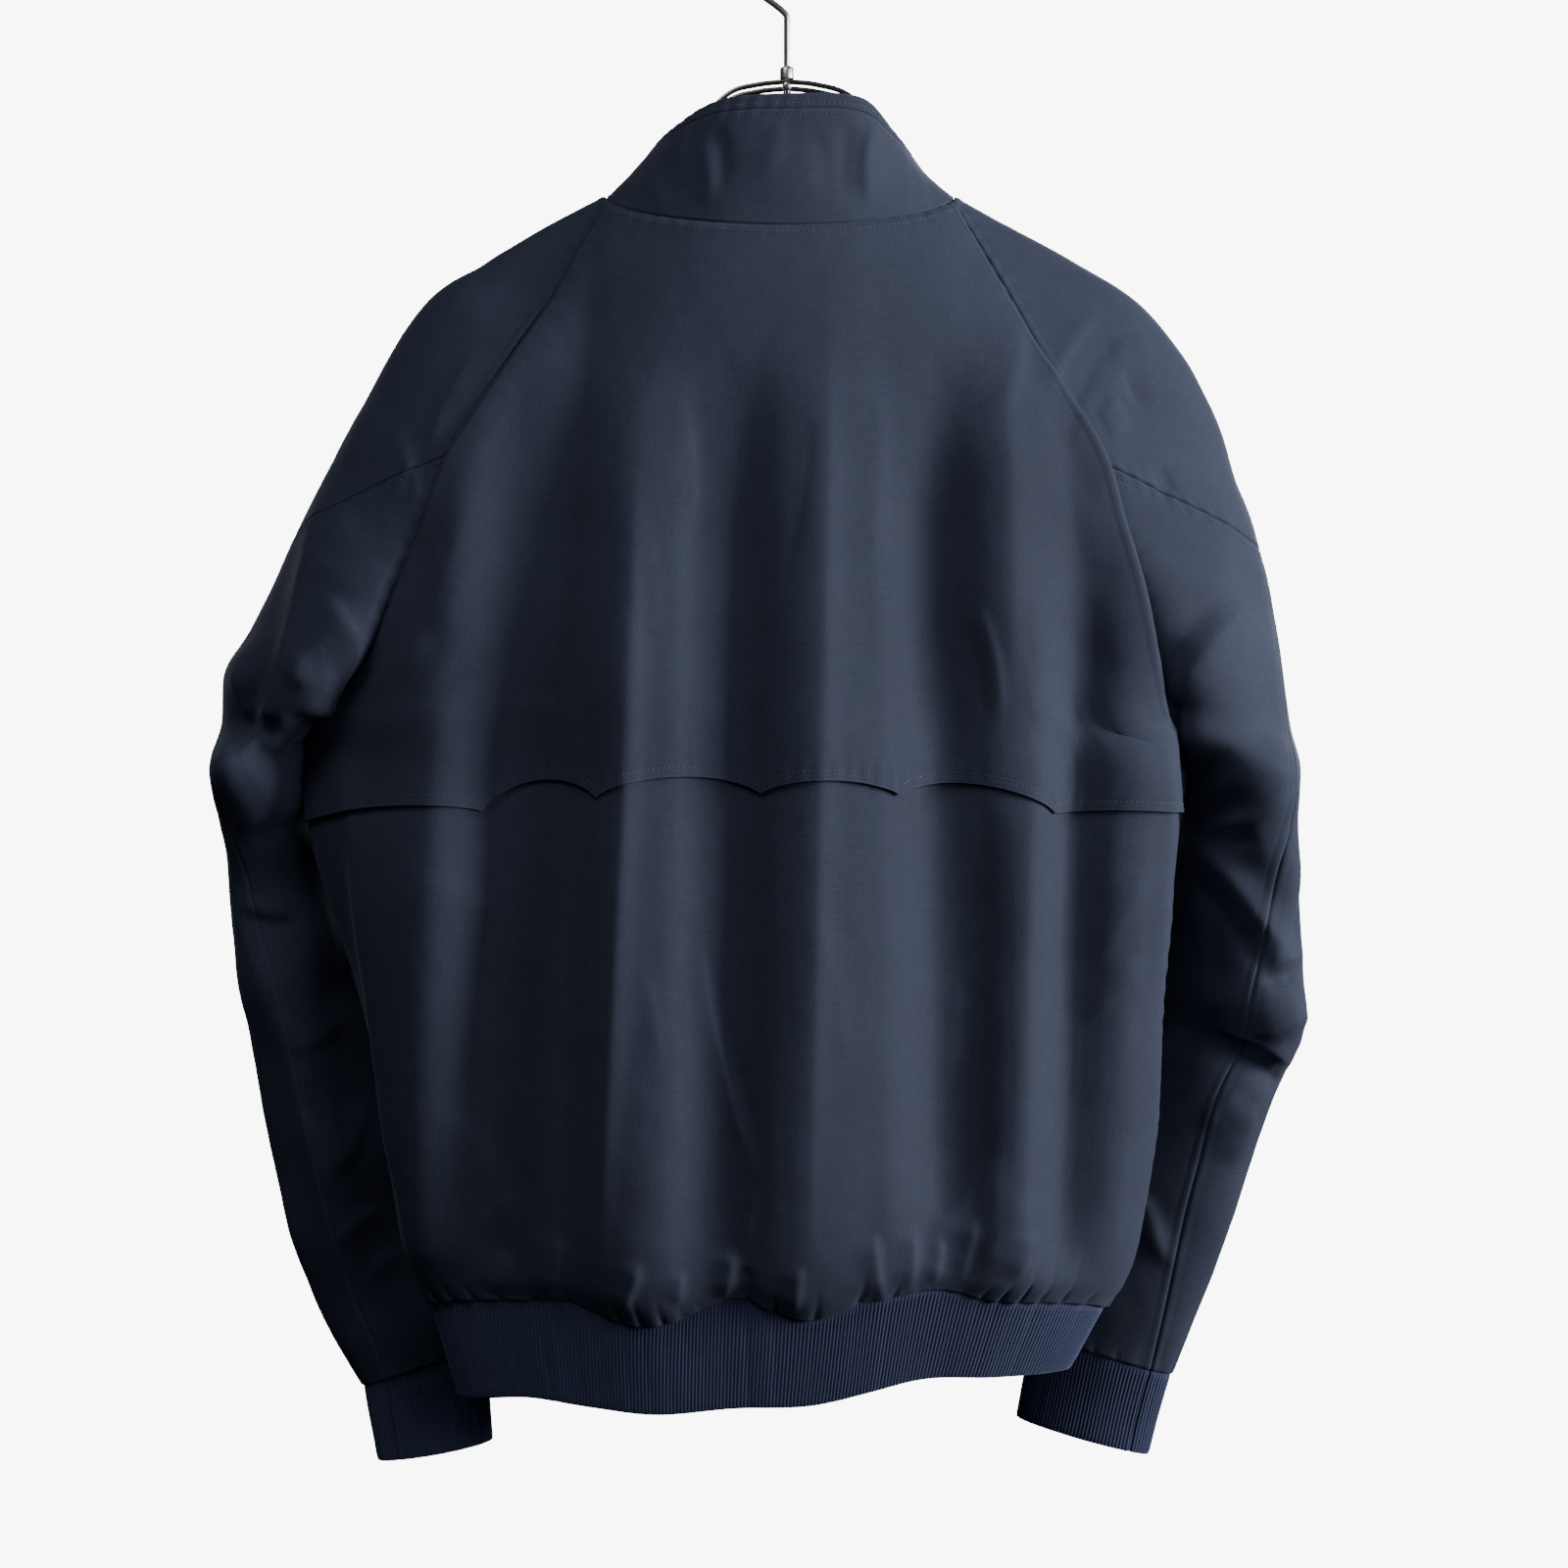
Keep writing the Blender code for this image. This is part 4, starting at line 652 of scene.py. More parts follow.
LEFT_FOLDS = table(
    FOLD_COLUMNS,
    (-268, -330, -322, -560, 10, 52, 10, 9.0, -1),
    (-236, -420, -282, -452, -4, 3, 12, 2.2, -1),
    (-262, -404, -240, -452, 4, 3, 11, 1.8, -1),
    (-226, -300, -196, -364, -4, 3, 12, 1.6, -1),
    (-300, -640, -280, -700, 4, 3, 12, 2.0, -1),
    (-290, -700, -268, -764, 4, 3, 12, 2.2, -1),
    (-330, -560, -262, -830, 8, 52, 10, 9.0, -1),
    (-258, -462, -306, -478, -3, 4.5, 22, 5.0, -1),
    (-304, -478, -324, -444, 2, 5, 15, 4.0, -1),
    (-262, -474, -304, -490, -3, 8, 5, -4.6, -1),
    (-258, -450, -284, -448, 2, 4, 9, 2.6, -1),
    (-272, -476, -286, -466, 1, 5, 6, -3.6, -1),
    (-291, -488, -281, -526, 3, 5, 20, 3.2, -1),
    (-278, -525, -324, -540, -3, 4.5, 26, 5.2, -1),
    (-274, -534, -318, -550, -3, 9, 5, -4.4, -1),
    (-288, -556, -272, -640, 6, 7, 18, 2.6, -1),
    (-290, -588, -324, -580, 3, 4, 14, 2.2, -1),
    (-286, -594, -318, -588, 3, 8, 5, -1.6, -1),
    (-262, -650, -300, -668, 4, 5, 14, 1.6, -1),
    (-252, -700, -272, -748, 4, 4, 12, 1.8, -1),
    (-268, -786, -240, -762, 3, 4, 10, 1.6, -1),
    (-250, -806, -222, -790, 3, 4, 9, 1.3, -1),
    (-254, -330, -238, -290, 4, 5, 16, 1.6, -1),
    (-272, -400, -246, -356, 5, 6, 18, 1.8, -1),
    (-258, -476, -316, -460, -5, 5, 18, 4.2, 1),
    (-262, -488, -312, -478, -5, 9, 5, -3.4, 1),
    (-264, -528, -320, -544, -4, 5, 22, 4.0, 1),
    (-268, -540, -314, -556, -4, 9, 5, -3.0, 1),
    (-264, -600, -316, -586, 4, 4, 14, 2.2, 1),
    (-240, -700, -290, -690, 5, 5, 15, 2.0, 1),
    (-216, -780, -268, -776, 4, 4, 12, 1.8, 1),
)
RIGHT_FOLDS = table(
    FOLD_COLUMNS,
    (221, -468, 270, -404, 4, 11, 26, 6.0, -1),
    (214, -452, 256, -398, 4, 14, 10, -2.6, -1),
    (219, -462, 226, -506, 2, 9, 4, -4.4, -1),
    (228, -468, 240, -540, -3, 14, 6, 7.0, -1),
    (254, -492, 280, -566, 3, 12, 18, 5.0, -1),
    (233, -541, 300, -514, -4, 5, 28, 5.0, -1),
    (238, -553, 298, -528, -4, 10, 6, -2.6, -1),
    (222, -530, 296, -622, 5, 9, 30, 9.0, -1),
    (280, -626, 224, -552, -4, 8, 16, -5.2, -1),
    (252, -588, 248, -640, 3, 8, 12, -2.4, -1),
    (304, -612, 280, -618, 1, 4, 10, 2.6, -1),
    (300, -622, 276, -628, 1, 6, 4, -2.8, -1),
    (308, -648, 272, -658, 2, 4, 12, 3.0, -1),
    (302, -660, 268, -668, 2, 6, 4, -1.8, -1),
    (300, -680, 250, -654, -3, 4.5, 18, 4.6, -1),
    (294, -692, 246, -666, -3, 10, 5, -4.0, -1),
    (274, -700, 262, -740, 3, 5, 16, 1.8, -1),
    (244, -716, 270, -694, 3, 4, 10, 1.8, -1),
    (206, -752, 223, -796, 3, 4, 12, 2.4, -1),
    (232, -800, 210, -770, 3, 4, 10, 1.6, -1),
    (222, -246, 262, -336, 6, 8, 20, 2.0, -1),
    (186, -262, 216, -262, 3, 4, 10, 1.2, -1),
    (206, -296, 196, -272, 2, 4, 8, -1.8, -1),
    (214, -330, 220, -352, 2, 4, 8, -1.6, -1),
    (180, -306, 192, -290, 1, 2.5, 5, 1.4, -1),
    (184, -314, 196, -298, 1, 2.5, 5, 1.2, -1),
    (296, -476, 238, -500, -5, 5, 18, 4.2, 1),
    (300, -496, 242, -514, -5, 9, 5, -3.2, 1),
    (304, -560, 240, -586, 5, 5, 20, 3.6, 1),
    (304, -640, 244, -640, -5, 5, 16, 3.2, 1),
    (298, -652, 246, -654, -5, 9, 5, -2.4, 1),
    (276, -724, 208, -728, 5, 4, 14, 2.0, 1),
    (248, -800, 196, -796, 4, 4, 12, 1.8, 1),
)
COLLAR_FOLDS = table(
    FOLD_COLUMNS,
    (52, -126, 48, -184, -5, 7, 2.4, 2.0, -1),
    (38, -130, 36, -182, -4, 5, 9, -1.4, -1),
    (60, -134, 72, -180, 3, 3, 6, 0.9, -1),
    (66, -140, 82, -184, 3, 3, 6, 0.8, -1),
    (-50, -140, -47, -184, 3, 7, 3, 1.5, -1),
    (-41, -130, -38, -176, 3, 4, 6, -1.9, -1),
    (-58, -130, -64, -156, 1, 2.5, 5, 1.5, -1),
    (-4, -128, -14, -168, 3, 4, 8, 0.9, -1),
    (14, -134, 22, -180, 4, 4, 9, -0.9, -1),
    (-80, -160, -70, -186, 2, 3, 6, 0.9, -1),
)

# Studio
FLOOR_Z, FLOOR_HALF, FLOOR_POINTS = -1.35, 1.0, 41
CAMERA_PLACE, CAMERA_LENS, CAMERA_SENSOR = (-0.0017, -2.2, -0.5131), 86.09, 36.0
BACKDROP_STRENGTH, ROOM_STRENGTH = 9.0, 0.03
LIGHT_AIM = (0, 0, -0.5)
LIGHTS = (       # name, place, size, power and colour
    ("window", (2.5, -0.8, 0.05), (0.8, 1.1), 132, (1.0, 0.985, 0.97)),
    ("right_front", (1.85, -2.1, 0.2), (1.6, 1.4), 25, (0.95, 0.96, 1.0)),
    ("left_front", (-0.95, -1.4, 1.6), (1.2, 1.2), 26, (0.95, 0.96, 1.0)),
    ("far_window", (1.3, 2.5, 0.3), (1.4, 1.5), 80, (1.0, 0.99, 0.97)),
    ("far_fill", (-1.4, 2.4, 0.1), (1.6, 1.6), 16, (0.95, 0.96, 1.0)),
)

# ---- Fine grids of the panels ----

def closer_at_ends(first, last, step, edge_step, edge_count):
    """Places from first to last, closer together at both ends, where the seams are."""
    reach = edge_step * edge_count
    edge = reach * (np.arange(edge_count) / edge_count) ** 1.5
    inner = np.linspace(first + reach, last - reach, round((last - first) / step))
    return np.concatenate([first + edge, inner, last - edge[::-1]])


def refined(grid, rows, cols):
    """The panel's grid read along smooth lines at fractional rows and columns."""
    by_row = through(np.arange(grid.shape[0]), grid, rows)
    across = through(np.arange(grid.shape[1]), np.swapaxes(by_row, 0, 1), cols)
    return np.swapaxes(across, 0, 1)


def run_length(points, axis):
    """Length along the cloth from its first row or column, in millimetres."""
    step = np.linalg.norm(np.diff(points, axis=axis), axis=-1)
    first = np.zeros_like(np.take(step, [0], axis=axis))
    return np.concatenate([first, np.cumsum(step, axis=axis)], axis=axis)


def cloth_noise(points, scale, seed):
    """Smooth noise over the cloth, -1 to 1."""
    flat = points.reshape(-1, 3) / scale
    shift = Vector((seed * 7.3, seed * 3.1, seed * 5.7))
    values = [noise.noise(Vector(p) + shift) for p in flat]
    return np.array(values).reshape(points.shape[:-1])


def crease_height(folds, points, normals):
    """Ridges and troughs along bowed lines on the cloth, steep on one side and soft on the other."""
    total = np.zeros(points.shape[:-1])
    flat = points[..., [0, 2]]
    for x0, z0, x1, z1, bow, steep, soft, height, face in zip(*folds.values()):
        start, way = np.array([x0, z0]), np.array([x1 - x0, z1 - z0])
        length = np.linalg.norm(way)
        way = way / length
        along = (flat - start) @ way / length
        inside = np.clip(along, 0, 1)
        off = (flat - start) @ np.array([-way[1], way[0]]) - bow * 4 * inside * (1 - inside)
        fade = ease(along / 0.32 + 0.1) * ease((1 - along) / 0.4 + 0.1)
        width = np.where(off > 0, steep, soft) * (0.65 + 0.35 * fade)
        shape = np.exp(-np.abs(off / width) ** 1.6)
        shown = ease(face * normals[..., 1] / 0.35) if face else 1.0
        total += height * fade * shape * shown
    return total


def fading(far, reach):
    """1 at a seam or an edge, and less the farther the cloth is from it."""
    return np.exp(-(far / reach) ** 2)


def uneven(points, scale, seed):
    """The small swells of hanging cloth."""
    return (UNEVEN_HIGH * cloth_noise(points, scale, seed)
            + FINE_HIGH * cloth_noise(points, FINE_SCALE, seed + 1))


def turned_in(far):
    """Depth to which the cloth is turned in at a seam."""
    return -SEAM_TURN * fading(far, SEAM_TURN_REACH)


def seam_dip(far, stitch):
    """Height of the cloth by its distance from a seam: turned in there, nipped at the stitches."""
    welt = SEAM_WELT * bump((far - stitch * 0.5) / (stitch * 0.55))
    nip = -SEAM_NIP * fading(far - stitch, 0.9)
    return turned_in(far) + welt + nip


def pucker(far, along, pitch, depth, reach):
    """Little pulls square to a line of stitches, uneven in spacing and strength."""
    wave = np.sin(2 * math.pi * along / pitch + 1.7 * np.sin(along / (2.3 * pitch)) + along * 0.013)
    strength = 0.55 + 0.45 * np.sin(along / (3.1 * pitch) + 0.9)
    return depth * wave * strength * fading(far, reach)


def knit_gathers(far, along, pitch, depth, reach):
    """Gathers where the cloth is drawn onto a rib: narrow nips, uneven in length and strength."""
    drift = 2.1 * np.sin(along / (1.9 * pitch)) + 1.7 * np.sin(along / (5.3 * pitch))
    phase = math.pi * along / pitch + drift
    own_reach = reach * (0.55 + 0.45 * np.sin(along / (1.35 * pitch) + 0.8))
    swell = np.sin(along / (2.7 * pitch) + 2.1) * np.sin(along / (1.1 * pitch) + 0.4)
    strength = 0.55 + 0.45 * swell
    nip = 0.3 - np.exp(-(np.cos(phase) / 0.24) ** 2) + 0.22 * np.sin(2 * phase + 0.5)
    return depth * strength * nip * np.exp(-(far / own_reach) ** 1.3) * ease((far + 0.5) / 3.0)


# ---- Meshes ----

def turned_out(points, faces, normals=None):
    """The faces wound to look out: along the cloth's normals or, without them, out of a body."""
    total = 0.0
    for size in sorted({len(face) for face in faces}):
        ring = np.array([face for face in faces if len(face) == size])
        corners = points[ring]
        middle = corners.mean(axis=1)
        arms = corners - middle[:, None]
        area = np.cross(arms, np.roll(arms, -1, axis=1)).sum(axis=1)
        toward = middle if normals is None else normals[ring].mean(axis=1)
        total += (area * toward).sum()
    return faces if total > 0 else [face[::-1] for face in faces]


def new_mesh(name, points, faces, uvs=None, worn=None, normals=None):
    """An object from points in millimetres, with cloth coordinates and a mask of wear and painted
    highlight for its material.
    """
    points = np.asarray(points, dtype=float)
    faces = turned_out(points, [list(map(int, face)) for face in faces], normals)
    mesh = bpy.data.meshes.new(name)
    mesh.from_pydata(points * MM, [], faces)
    if uvs is not None:
        layer = mesh.uv_layers.new(name="cloth")
        corners = np.zeros(len(mesh.loops), dtype=np.int32)
        mesh.loops.foreach_get("vertex_index", corners)
        layer.data.foreach_set("uv", (np.asarray(uvs)[corners] / UV_MM).astype(np.float32).ravel())
    # mask that paints edges, seams and rib crests lighter: partly wear, partly painted highlight
    if worn is not None:
        mark = mesh.attributes.new("worn", "FLOAT", "POINT")
        mark.data.foreach_set("value", np.asarray(worn, dtype=np.float32))
    mesh.shade_smooth()
    item = bpy.data.objects.new(name, mesh)
    bpy.context.scene.collection.objects.link(item)
    return item


def quads(rows, cols, keep=None):
    index = np.arange(rows * cols).reshape(rows, cols)
    faces = np.stack([index[:-1, :-1], index[:-1, 1:], index[1:, 1:], index[1:, :-1]], axis=-1)
    if keep is not None:
        return faces[keep]
    return faces.reshape(-1, 4)


def with_rim(points, normals, faces, wall):
    """Adds a narrow turned-in rim along every open edge, so that the cloth shows its thickness."""
    faces = np.asarray(faces)
    used, local = np.unique(faces, return_inverse=True)
    faces = local.reshape(faces.shape)
    points, normals = points[used], normals[used]
    ends = np.stack([faces, np.roll(faces, -1, axis=1)], axis=-1).reshape(-1, 2)
    key = np.sort(ends, axis=1)
    code = key[:, 0] * (len(points) + 1) + key[:, 1]
    _, first, count = np.unique(code, return_index=True, return_counts=True)
    rim = ends[first[count == 1]]
    on_rim = np.unique(rim)
    slot = {int(k): len(points) + i for i, k in enumerate(on_rim)}
    turned = points[on_rim] - normals[on_rim] * wall
    sides = np.array([[b, a, slot[int(a)], slot[int(b)]] for a, b in rim])
    return used, np.concatenate([points, turned]), np.concatenate([faces, sides]), on_rim


def cloth_piece(name, points, normals, faces, uvs, worn, wall=SHELL):
    used, all_points, all_faces, on_rim = with_rim(points, normals, faces, wall)
    uvs, worn, normals = uvs[used], worn[used], normals[used]
    item = new_mesh(
        name, all_points, all_faces,
        *(np.concatenate([values, values[on_rim]]) for values in (uvs, worn, normals)),
    )
    item.data.set_sharp_from_angle(angle=math.radians(60))
    return item


def panel_uv(points):
    """Cloth coordinates in millimetres: across from the middle column, down from the top row."""
    across = run_length(points, 1)
    across = across - across[:, [across.shape[1] // 2]]
    down = run_length(points, 0)
    return np.stack([across, -down], axis=-1)


class Panel:
    """A piece of cloth as a fine grid of points, with lengths across and down it."""

    def __init__(self, rows, cols, points, way):
        self.rows, self.cols, self.points = rows, cols, points
        self.way = way(points) if callable(way) else way
        self.normals = facing(points, self.way)
        across, down = run_length(points, 1), run_length(points, 0)
        self.from_start, self.to_end = across, across[:, -1:] - across
        self.from_top, self.to_foot = down, down[-1:] - down
        self.uv = panel_uv(points)
        self.worn = np.zeros(points.shape[:2])

    def lift(self, height):
        self.points = self.points + self.normals * height[..., None]

    def settle(self):
        self.normals = facing(self.points, self.way)

    def flat(self):
        count = self.points.shape[0] * self.points.shape[1]
        return (self.points.reshape(count, 3), self.normals.reshape(count, 3),
                self.uv.reshape(count, 2), self.worn.reshape(count))


def fine_panel(grid, rows, cols, way):
    return Panel(rows, cols, refined(grid, rows, cols), way)


def make_panel(name, panel, keep=None, wall=SHELL):
    points, normals, uvs, worn = panel.flat()
    faces = quads(*panel.points.shape[:2], keep)
    return cloth_piece(name, points, normals, faces, uvs, worn, wall)


def grid_at(panel, rows, cols):
    """Points and normals of a panel read at fractional fine rows and columns, without smoothing."""
    r = np.interp(rows, panel.rows, np.arange(len(panel.rows)))
    c = np.interp(cols, panel.cols, np.arange(len(panel.cols)))
    i = np.clip(r.astype(int), 0, len(panel.rows) - 2)
    j = np.clip(c.astype(int), 0, len(panel.cols) - 2)
    u, v = (r - i)[..., None], (c - j)[..., None]
    found = []
    for grid in (panel.points, panel.normals):
        upper = grid[i, j] * (1 - v) + grid[i, j + 1] * v
        lower = grid[i + 1, j] * (1 - v) + grid[i + 1, j + 1] * v
        found.append(upper * (1 - u) + lower * u)
    return found[0], unit(found[1])


# ---- Stitches ----

seams_sewn = []     # points of the stitches of each seam


def sew(line, normals, pitch=STITCH_PITCH, length=STITCH_LONG, thick=STITCH_THICK):
    """A row of stitches along a line on the cloth."""
    far = np.concatenate([[0], np.cumsum(np.linalg.norm(np.diff(line, axis=0), axis=1))])
    places = np.arange(pitch * 0.6, far[-1] - pitch * 0.5, pitch)
    if len(places) == 0:
        return

    def at(distance, values):
        return np.stack([np.interp(distance, far, values[:, k]) for k in range(3)], axis=-1)

    middle = at(places, line)
    way = unit(at(places + 0.6, line) - at(places - 0.6, line))
    up = unit(at(places, normals))
    side = unit(np.cross(way, up))
    rings = []
    for along, size, height in STITCH_RINGS:
        for turn in np.radians(np.arange(STITCH_SIDES) * 360 / STITCH_SIDES):
            rings.append(middle + way * (along * length)
                         + side * (math.cos(turn) * size * thick / 2)
                         + up * (math.sin(turn) * size * thick / 2 + height * thick))
    seams_sewn.append(np.stack(rings, axis=1))


def make_stitches(name, body):
    rings = np.concatenate(seams_sewn)
    count, corners = rings.shape[0], rings.shape[1]
    index = np.arange(corners).reshape(-1, STITCH_SIDES)
    turned = np.roll(index, -1, axis=1)
    one = np.stack([index[:-1], turned[:-1], turned[1:], index[1:]], axis=-1).reshape(-1, 4)
    faces = (np.arange(count)[:, None, None] * corners + one[None]).reshape(-1, 4)
    item = new_mesh(name, rings.reshape(-1, 3), faces)
    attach(item, body)
    return item


def column_line(panel, far, from_end=False, first=0.0, last=None):
    """Points on a panel this far in from its side edge, row by row."""
    last = panel.rows[-1] if last is None else last
    chosen = np.nonzero((panel.rows >= first) & (panel.rows <= last))[0]
    line, normals = [], []
    for r in chosen:
        length = panel.to_end[r][::-1] if from_end else panel.from_start[r]
        grid = panel.points[r][::-1] if from_end else panel.points[r]
        lean = panel.normals[r][::-1] if from_end else panel.normals[r]
        line.append([np.interp(far, length, grid[:, k]) for k in range(3)])
        normals.append([np.interp(far, length, lean[:, k]) for k in range(3)])
    return np.array(line), np.array(normals)


def row_line(panel, far, from_foot=False, first=0.0, last=None):
    """Points on a panel this far in from its top or foot, one distance or one for each column."""
    last = panel.cols[-1] if last is None else last
    far = np.broadcast_to(far, panel.cols.shape)
    chosen = np.nonzero((panel.cols >= first) & (panel.cols <= last))[0]
    line, normals = [], []
    for c in chosen:
        length = panel.to_foot[::-1, c] if from_foot else panel.from_top[:, c]
        grid = panel.points[::-1, c] if from_foot else panel.points[:, c]
        lean = panel.normals[::-1, c] if from_foot else panel.normals[:, c]
        line.append([np.interp(far[c], length, grid[:, k]) for k in range(3)])
        normals.append([np.interp(far[c], length, lean[:, k]) for k in range(3)])
    return np.array(line), np.array(normals)


# ---- Shader maths ----

class Value:
    """A socket of a shader tree that takes part in Python arithmetic."""

    def __init__(self, tree, socket):
        self.tree, self.socket = tree, socket

    def node(self, kind, settings=None, **sockets):
        """Any node: settings first, then values or links of its sockets, by name or number."""
        made = self.tree.nodes.new(kind)
        for key, value in (settings or {}).items():
            if key == "stops":
                for stop in list(made.color_ramp.elements)[2:]:
                    made.color_ramp.elements.remove(stop)
                while len(made.color_ramp.elements) < len(value):
                    made.color_ramp.elements.new(1.0)
                for stop, (place, shade) in zip(made.color_ramp.elements, value):
                    stop.position = place
                    stop.color = (*shade, 1) if len(shade) == 3 else shade
            else:
                setattr(made, key, value)
        for key, value in sockets.items():
            numbered = key[0] == "i" and key[1:].isdigit()
            socket = made.inputs[int(key[1:]) if numbered else key.replace("_", " ")]
            if isinstance(value, Value):
                self.tree.links.new(value.socket, socket)
            else:
                socket.default_value = value
        return made

    def out(self, made, key=0):
        return Value(self.tree, made.outputs[key])

    def maths(self, operation, other=0.0, third=0.0, swap=False):
        first, second = (other, self) if swap else (self, other)
        made = self.node("ShaderNodeMath", {"operation": operation}, i0=first, i1=second, i2=third)
        return self.out(made)

    def __add__(self, other):
        return self.maths("ADD", other)

    def __sub__(self, other):
        return self.maths("SUBTRACT", other)

    def __mul__(self, other):
        return self.maths("MULTIPLY", other)

    def __truediv__(self, other):
        return self.maths("DIVIDE", other)

    def __pow__(self, other):
        return self.maths("POWER", other)

    def __radd__(self, other):
        return self.maths("ADD", other, swap=True)

    def __rsub__(self, other):
        return self.maths("SUBTRACT", other, swap=True)

    def __rmul__(self, other):
        return self.maths("MULTIPLY", other, swap=True)

    def __rtruediv__(self, other):
        return self.maths("DIVIDE", other, swap=True)

    def sine(self):
        return self.maths("SINE")

    def clamped(self, low=0.0, high=1.0):
        made = self.node("ShaderNodeClamp", None, Value=self, Min=low, Max=high)
        return self.out(made)

    def between(self, first, second):
        """A colour mixed from two by this value."""
        made = self.node(
            "ShaderNodeMix", {"data_type": "RGBA"}, Factor=self, i6=first, i7=second)
        return self.out(made, 2)


def paint(name, roughness, metallic=0.0, **fixed):
    """A material with its shader's fixed sockets set, then its shader and a starting value."""
    made = bpy.data.materials.new(name)
    made.use_nodes = True
    tree = made.node_tree
    shader = tree.nodes["Principled BSDF"]
    shader.inputs["Roughness"].default_value = roughness
    shader.inputs["Metallic"].default_value = metallic
    for key, value in fixed.items():
        shader.inputs[key.replace("_", " ")].default_value = value
    return made, shader, Value(tree, None)


def feed(shader, socket, value):
    value.tree.links.new(value.socket, shader.inputs[socket])


def stretched(start, source, scale, across, down, detail=2.0):
    """Noise drawn out along one way of the cloth."""
    mapped = start.out(start.node("ShaderNodeMapping", None, Vector=source, Scale=(across, down, 1)))
    made = start.node(
        "ShaderNodeTexNoise", None, Vector=mapped, Scale=scale, Detail=detail, Roughness=0.55)
    return start.out(made)


def weave_paint(name, dark, light, roughness, thread_mm, sheen):
    """Plain-weave cloth: warp and weft threads, slubs, and edges and seams painted lighter, as wear
    and as a painted highlight.
    """
    made, shader, start = paint(
        name, roughness, Sheen_Weight=sheen, Sheen_Roughness=0.45, Sheen_Tint=(0.62, 0.72, 1.0, 1),
        Specular_IOR_Level=0.24, Specular_Tint=(0.75, 0.85, 1.0, 1))
    uv = start.out(start.node("ShaderNodeUVMap", {"uv_map": "cloth"}))
    per = UV_MM / thread_mm
    warp = stretched(start, uv, 1.0, per * 0.5, per * 0.035)
    weft = stretched(start, uv, 1.0, per * 0.03, per * 0.5)
    wide = start.out(start.node("ShaderNodeTexNoise", None, Vector=uv, Scale=2.6, Detail=3.0))
    split = start.node("ShaderNodeSeparateXYZ", None, Vector=uv)
    turn = 2 * math.pi * UV_MM / thread_mm
    across, down = start.out(split, 0) * turn, start.out(split, 1) * turn
    over = (across + wide * 9).sine() * (down - wide * 7).sine()
    # edges and seams painted lighter by the mask: wear and painted highlight
    worn = start.out(start.node("ShaderNodeAttribute", {"attribute_name": "worn"}), 2)
    tone = (warp * 0.52 + weft * 0.52 + wide * 0.3 + over * 0.06 - 0.22 + worn * 0.35).clamped()
    feed(shader, "Base Color", tone.between((*dark, 1), (*light, 1)))
    feed(shader, "Roughness", (roughness - 0.08 + wide * 0.12 + warp * 0.05).clamped())
    height = warp * 0.6 + weft * 0.6 + over * 0.12
    relief = start.node("ShaderNodeBump", None, Height=height, Strength=0.35, Distance=0.00025)
    feed(shader, "Normal", start.out(relief))
    return made


def knit_paint(name, dark, light):
    """Rib knit: the ribs are modelled; the loops along each rib are small V-shaped stitches."""
    made, shader, start = paint(
        name, 0.86, Sheen_Weight=0.35, Sheen_Roughness=0.6, Sheen_Tint=(0.55, 0.65, 1.0, 1),
        Specular_IOR_Level=0.2)
    uv = start.out(start.node("ShaderNodeUVMap", {"uv_map": "cloth"}))
    split = start.node("ShaderNodeSeparateXYZ", None, Vector=uv)
    across, down = start.out(split, 0), start.out(split, 1)
    rib = across * (UV_MM / RIB_PITCH)
    lean = (rib - rib.maths("FLOOR") - 0.5).maths("ABSOLUTE")
    loops = ((down * (UV_MM / LOOP_PITCH) + lean * 1.4) * (2 * math.pi)).sine()
    fuzz = start.out(start.node("ShaderNodeTexNoise", None, Vector=uv, Scale=46.0, Detail=4.0))
    wide = start.out(start.node("ShaderNodeTexNoise", None, Vector=uv, Scale=1.9, Detail=2.0))
    # the crests of the ribs painted lighter by the mask: a painted highlight
    worn = start.out(start.node("ShaderNodeAttribute", {"attribute_name": "worn"}), 2)
    tone = (loops * 0.16 + fuzz * 0.45 + wide * 0.3 + worn * 0.45 - 0.1).clamped()
    feed(shader, "Base Color", tone.between((*dark, 1), (*light, 1)))
    feed(shader, "Roughness", (0.8 + fuzz * 0.15).clamped())
    height = loops * 0.6 + fuzz
    relief = start.node("ShaderNodeBump", None, Height=height, Strength=0.5, Distance=0.0003)
    feed(shader, "Normal", start.out(relief))
    return made


def metal_paint(name, dark, light, roughness, scratch):
    """Plated metal with fine rubbed scratches and duller patches."""
    made, shader, start = paint(name, roughness, 1.0)
    spot = start.out(start.node("ShaderNodeTexCoord"), "Object")
    patch = start.out(start.node("ShaderNodeTexNoise", None, Vector=spot, Scale=90.0, Detail=4.0))
    mapped = start.out(start.node("ShaderNodeMapping", None, Vector=spot, Scale=(260, 260, 2600)))
    lines = start.out(start.node("ShaderNodeTexNoise", None, Vector=mapped, Scale=1.0, Detail=3.0))
    feed(shader, "Base Color", patch.between((*dark, 1), (*light, 1)))
    feed(shader, "Roughness", (roughness - 0.1 + patch * 0.12 + lines * scratch).clamped(0.08, 1.0))
    relief = start.node("ShaderNodeBump", None, Height=lines, Strength=0.12, Distance=0.0001)
    feed(shader, "Normal", start.out(relief))
    return made


def thread_paint(name, dark, light):
    """Twisted sewing thread."""
    made, shader, start = paint(name, 0.6, Sheen_Weight=0.2, Specular_IOR_Level=0.4)
    spot = start.out(start.node("ShaderNodeTexCoord"), "Object")
    twist = start.out(start.node("ShaderNodeTexNoise", None, Vector=spot, Scale=1400.0, Detail=1.0))
    feed(shader, "Base Color", twist.between((*dark, 1), (*light, 1)))
    feed(shader, "Roughness", 0.5 + twist * 0.25)
    return made


def dress(item, finish):
    item.data.materials.clear()
    item.data.materials.append(finish)
    return item


